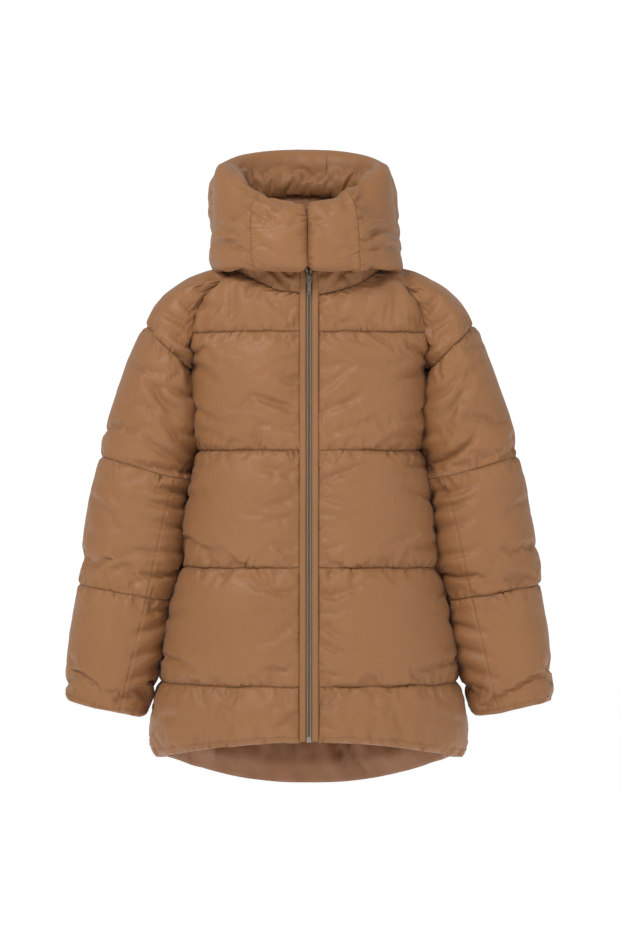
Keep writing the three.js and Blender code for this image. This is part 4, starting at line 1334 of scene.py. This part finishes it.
tooth_rows = [tooth_places(1, LOWEST_TOOTH), tooth_places(-1, LOWEST_TOOTH + 3.5 * PITCH)]
zip_teeth = grow(paths_object("zip_teeth_rows", tooth_rows), teeth_tree(), {"Finish": tooth_metal})
print("teeth:", sum(len(r) for r in tooth_rows), "faces:", len(zip_teeth.data.polygons))

# %% [markdown]
# The welts are the shell's own edges, folded round beside the teeth. The flap behind the zip is another
# folded strip. Both are one rounded section carried along the zip, which swells and narrows a little
# between stitches.

# %% Welts and flap
STITCH_STEP = 4.2  # in millimetres, like every length here


def rounded_strip(name, x_range, y_range, z_range, material, seed, wave=0.25, parts=False):
    x_middle, y_middle = sum(x_range) / 2, sum(y_range) / 2
    half_x, half_y = (x_range[1] - x_range[0]) / 2, (y_range[1] - y_range[0]) / 2
    around = np.linspace(0, 2 * np.pi, 24, endpoint=False)
    c, s = squared(np.cos(around), 0.45), squared(np.sin(around), 0.6)
    z = np.linspace(*z_range, int((z_range[1] - z_range[0]) / 2.4))
    swell = 1 - 0.10 * (np.abs(((z / STITCH_STEP) % 1) - 0.5) < 0.12)
    wander = np.array([noise.noise(Vector((seed, 0.3, height / 16))) for height in z])
    slow = np.array([noise.noise(Vector((seed, 7.3, height / 60))) for height in z])
    ends = np.clip(np.minimum(z - z[0], z[-1] - z) / 1.5, 0, 1) ** 0.5 * 0.35 + 0.65
    x = x_middle + (half_x - 0.3) * c * ends[:, None] + 0.3 * slow[:, None]
    y = y_middle + half_y * s * (ends * swell)[:, None] + wave * wander[:, None]
    if parts:  # a welt follows its row of teeth where the two rows part
        x = x + np.sign(x_middle) * np.interp(z, [PARTING_START, PART_HEIGHT], [0, PARTING])[:, None]
    grid = np.stack(np.broadcast_arrays(x, y, z[:, None]), -1)
    strip = capped_pad(name, on_zip(grid))
    face, inside = strip.data.polygons[0], Vector(on_zip([x_middle, y_middle, z[0]]))
    if face.normal @ (face.center - inside) < 0:
        strip.data.flip_normals()
    strip.data.materials.append(material)
    return strip


WELT_X, WELT_Y, WELT_Z = (4.4, 14.4), (-4.2, -0.9), (-693, 14)
FLAP_X, FLAP_Y, FLAP_Z = (-13, 13), (4.4, 7.0), (-690, 60)
WELTS = {"left": (WELT_X, 4), "right": ((-WELT_X[1], -WELT_X[0]), 2)}  # the seeds keep the two unlike
zip_parts = {}
for side, (span, seed) in WELTS.items():
    zip_parts[f"{side}_zip_welt"] = rounded_strip(
        f"{side}_welt_strip", span, WELT_Y, WELT_Z, welt_cloth, seed, parts=True)
zip_parts["wind_flap"] = rounded_strip("wind_flap_strip", FLAP_X, FLAP_Y, FLAP_Z, flap_cloth, 9, wave=0.15)
print("strips:", sorted(zip_parts))

# %% [markdown]
# The small metal parts have the right shape already, but real cast parts have no sharp edges. Each is
# copied, its doubled points are merged, and its edges are rounded.

# %% Rounded metal parts
def soften(node, title, width, material):
    mesh = bpy.data.objects[node].data.copy()
    built = bmesh.new()
    built.from_mesh(mesh)
    bmesh.ops.remove_doubles(built, verts=built.verts, dist=1e-6)
    bmesh.ops.dissolve_limit(built, angle_limit=math.radians(2), verts=built.verts, edges=built.edges)
    sharp = [e for e in built.edges if e.is_manifold and e.calc_face_angle() > math.radians(28)]
    bmesh.ops.bevel(
        built, geom=sharp, offset=width, segments=2, profile=0.6, affect="EDGES", clamp_overlap=True)
    bmesh.ops.triangulate(built, faces=[f for f in built.faces if len(f.verts) > 4])
    built.to_mesh(mesh)
    built.free()
    mesh.name = title
    mesh.materials.clear()
    mesh.materials.append(material)
    made = bpy.data.objects.new(title, mesh)
    bpy.context.scene.collection.objects.link(made)
    return made


METAL_PARTS = {
    "zip_slider": ("slider_body", 0.00025, slider_metal),
    "zip_puller": ("puller_plate", 0.00022, slider_metal),
    "zip_retainer_box": ("retainer_box", 0.0003, zip_metal),
    "zip_insertion_pin": ("insertion_pin", 0.0003, zip_metal),
    "left_zip_top_stop": ("left_top_stop", 0.00035, zip_metal),
    "right_zip_top_stop": ("right_top_stop", 0.00035, zip_metal),
}
metal_pieces = {node: soften(node, *how) for node, how in METAL_PARTS.items()}
for tape in ("left_zip_tape", "right_zip_tape"):
    bpy.data.objects[tape].data.materials.clear()
    bpy.data.objects[tape].data.materials.append(tape_cloth)
print({node: len(piece.data.polygons) for node, piece in metal_pieces.items()})

# %% [markdown]
# ## Loop, tape and label
# A woven loop hangs the coat up. Its legs go under a strip of tape on the back neck seam, and a blank
# label is sewn below. Each is a thin strip of cloth with a real thickness, and soft ends.

# %% Loop, tape and label in the neck
def band_along(name, path, across, width, thickness, material):
    """A flat band: a rounded bar, carried along a path. across is the direction of its width."""
    path, across = np.asarray(path, float), np.asarray(across, float)
    along = np.gradient(path, axis=0)
    along /= np.linalg.norm(along, axis=1, keepdims=True)
    out = np.cross(along, across)
    out /= np.linalg.norm(out, axis=1, keepdims=True)
    around = np.linspace(0, 2 * np.pi, 16, endpoint=False)
    c, s = squared(np.cos(around), 0.4), squared(np.sin(around), 0.5)
    wide, thick = (c * width / 2)[None, :, None], (s * thickness / 2)[None, :, None]
    made = capped_pad(name, path[:, None] + across * wide + out[:, None] * thick)
    built = bmesh.new()
    built.from_mesh(made.data)
    bmesh.ops.recalc_face_normals(built, faces=built.faces)
    built.to_mesh(made.data)
    built.free()
    made.data.materials.append(material)
    return made


LOOP_HALF, LOOP_CROWN, LOOP_LEG, LOOP_FOOT = 0.0268, 0.0158, 0.012, -0.015
turns = np.linspace(math.pi, 0, 40)
arch = np.stack([LOOP_HALF * np.cos(turns), 0 * turns, LOOP_FOOT + LOOP_CROWN * np.sin(turns)], -1)
legs = np.linspace(LOOP_FOOT - LOOP_LEG, LOOP_FOOT - 0.0005, 8)
up = np.stack([-LOOP_HALF + 0 * legs, 0 * legs, legs], -1)
loop_path = np.concatenate([up, arch, (up * (-1, 1, 1))[::-1]])
sweep = np.linspace(-1, 1, 60)
tape_path = np.stack(
    [0.042 * sweep, 0.0043 + 0.0002 * np.sin(9 * sweep), -0.021 + 0.0003 * np.sin(5 * sweep)], -1)
label_path = np.stack([0.024 * sweep, 0.0039 + 0.0003 * np.sin(6 * sweep), -0.0397 + 0 * sweep], -1)
neck_trims = {
    "hang_loop": band_along("hang_loop_band", loop_path, (0, 1, 0), 0.006, 0.0016, trim_cloth),
    "neck_tape": band_along("neck_tape_strip", tape_path, (0, 0, 1), 0.012, 0.0018, trim_cloth),
    "blank_label": band_along("blank_label_patch", label_path, (0, 0, 1), 0.0246, 0.0009, label_cloth),
}
print("neck trims:", sorted(neck_trims))

# %% [markdown]
# ## Stitching
# Lockstitches run in every quilting seam, along the raglan seams, round the hem and cuffs, and along the
# folded edges of the front. Their paths are taken from the finished channels, so that they follow each
# ripple.

# %% Stitches
def edge_path(name, row=None, column=None, lift=0.0007):
    grid = fine_grids[name]
    looped = name.split("_", 1)[1] in ("shoulder_baffle", "upper_arm_baffle", "forearm_baffle", "cuff_baffle")
    raised = grid + grid_normals(grid, looped) * lift
    path = raised[row] if row is not None else raised[:, column]
    return np.concatenate([path, path[:1]]) if looped and row is not None else path


HEM_ROW = -4  # the hems are stitched a little above their edge
RAGLAN_EDGES = {"left_front": (-1,), "right_front": (0,), "back": (0, -1)}
body_paths = []
for name in BAFFLES:
    for panel, edges in RAGLAN_EDGES.items():
        piece = f"{panel}_{name}_baffle"
        body_paths.append(edge_path(piece, row=HEM_ROW if name == "hem" else -1))
        for column in edges if name in ("yoke", "chest") else ():
            path = edge_path(piece, column=column)
            body_paths.append(path if name == "yoke" else path[: len(path) // 2])
stitch_paths = {"coat_body": body_paths}
for side in ("left", "right"):
    body_paths.append(edge_path(f"{side}_shoulder_baffle", row=-1))
    stitch_paths[f"{side}_upper_sleeve"] = [edge_path(f"{side}_upper_arm_baffle", row=-1)]
    stitch_paths[f"{side}_forearm"] = [
        edge_path(f"{side}_forearm_baffle", row=-1), edge_path(f"{side}_cuff_baffle", row=HEM_ROW)]
height = np.linspace(-690, 7, 200)
for x in (-6.2, -12.2, 6.2, 12.2):  # along both edges of each welt
    body_paths.append(on_zip(np.stack([x + 0 * height, -4.15 + 0 * height, height], -1)))
label_edge = [(-22.4, -50), (22.4, -50), (22.4, -29.4), (-22.4, -29.4), (-22.4, -50)]
body_paths.append(np.array([(x / 1000, 0.0033, z / 1000) for x, z in label_edge]))

stitches = {}
STITCH_TREE, BEAD_FACES = stitch_tree(), 30
for body, paths in stitch_paths.items():
    stitches[body] = grow(paths_object(f"{body}_stitches", paths), STITCH_TREE, {"Finish": thread})
print("stitches:", {body: len(piece.data.polygons) // BEAD_FACES for body, piece in stitches.items()})

# %% [markdown]
# ## Light and floor
# A pale room of even light, a large soft lamp high on the left and a weaker one on the right. The floor
# is plain.

# %% Light and floor
world = bpy.data.worlds.new("studio")
bpy.context.scene.world = world
world.use_nodes = True
nodes, links = world.node_tree.nodes, world.node_tree.links
glow = nodes["Background"]
glow.inputs["Color"].default_value = (1, 1, 1, 1)
glow.inputs["Strength"].default_value = 0.46
backdrop = nodes.new("ShaderNodeBackground")
backdrop.inputs["Color"].default_value = (1, 1, 1, 1)
backdrop.inputs["Strength"].default_value = 1.05
choose, ray = nodes.new("ShaderNodeMixShader"), nodes.new("ShaderNodeLightPath")
links.new(ray.outputs["Is Camera Ray"], choose.inputs[0])
links.new(glow.outputs[0], choose.inputs[1])
links.new(backdrop.outputs[0], choose.inputs[2])
links.new(choose.outputs[0], nodes["World Output"].inputs["Surface"])


def softbox(name, place, target, size, power):
    light = bpy.data.objects.new(name, bpy.data.lights.new(name, "AREA"))
    light.data.size, light.data.energy = size, power
    light.location = place
    light.rotation_euler = (Vector(target) - Vector(place)).to_track_quat("-Z", "Y").to_euler()
    bpy.context.scene.collection.objects.link(light)


softbox("key", (-1.5, -2.4, 2.2), (0, 0, -0.3), 1.0, 78)
softbox("fill", (2.4, -2.2, 1.0), (0, 0, -0.35), 1.6, 22)

FLOOR_HALF, FLOOR_Z = 14, -1.6
mesh = bpy.data.meshes.new("floor")
corners = [(x * FLOOR_HALF, y * FLOOR_HALF, FLOOR_Z) for x, y in ((-1, -1), (1, -1), (1, 1), (-1, 1))]
mesh.from_pydata(corners, [], [(0, 1, 2, 3)])
floor = bpy.data.objects.new("floor", mesh)
bpy.context.scene.collection.objects.link(floor)
paper = bpy.data.materials.new("white paper")
paper.use_nodes = True
matt = paper.node_tree.nodes["Principled BSDF"]
matt.inputs["Base Color"].default_value = (0.95, 0.95, 0.95, 1)
matt.inputs["Emission Color"].default_value = (1, 1, 1, 1)
matt.inputs["Emission Strength"].default_value = 0.55
floor.data.materials.append(paper)

# %% [markdown]
# ## What moves with what
# The body of the coat stands still. The cuff pieces go with the forearm, while the channels and linings
# of the upper arm and forearm only have their placement baked in and are bound to no body. The slider and
# its puller run down the zip.

# %% Bind the pieces
BODY = "coat_body"


def bind_sleeve_piece(piece, name):
    """Cuff pieces go with the forearm; upper arm and forearm pieces only have their placement baked in."""
    side = name.split("_")[0]
    if "upper_arm" in name:
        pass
    elif "forearm" in name:
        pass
    else:
        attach(piece, f"{side}_forearm")
        return
    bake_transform(piece)


ONE_PIECE_FOR = {  # cut in one round the back, where the engineering model has two halves
    "collar_side_fall": ("left_collar_side_fall", "right_collar_side_fall"),
    "collar_stand": ("left_collar_stand", "right_collar_stand"),
}


def give(piece, node, material=None):
    if material is not None:
        piece.data.materials.clear()
        piece.data.materials.append(material)
    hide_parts(*ONE_PIECE_FOR.get(node, (node,)))
    if any(part in node for part in ("upper_arm", "forearm", "cuff")):
        bind_sleeve_piece(piece, node)
    elif node == "zip_slider" or node == "zip_puller":
        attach(piece, node)
    else:
        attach(piece, BODY)


for node, pad in pads.items():
    give(pad, node, shell_cloth)
for node, (sheet, flat, area) in linings.items():
    give(sheet, node, lining_cloth)
for node, band in bands.items():
    give(band, node, knit_cloth)
for node, strip in zip_parts.items():
    give(strip, node)
for node, piece in metal_pieces.items():
    give(piece, node)
for node, piece in neck_trims.items():
    give(piece, node)
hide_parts("left_zip_teeth", "right_zip_teeth")
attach(zip_teeth, BODY)
for body, piece in stitches.items():
    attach(piece, body)
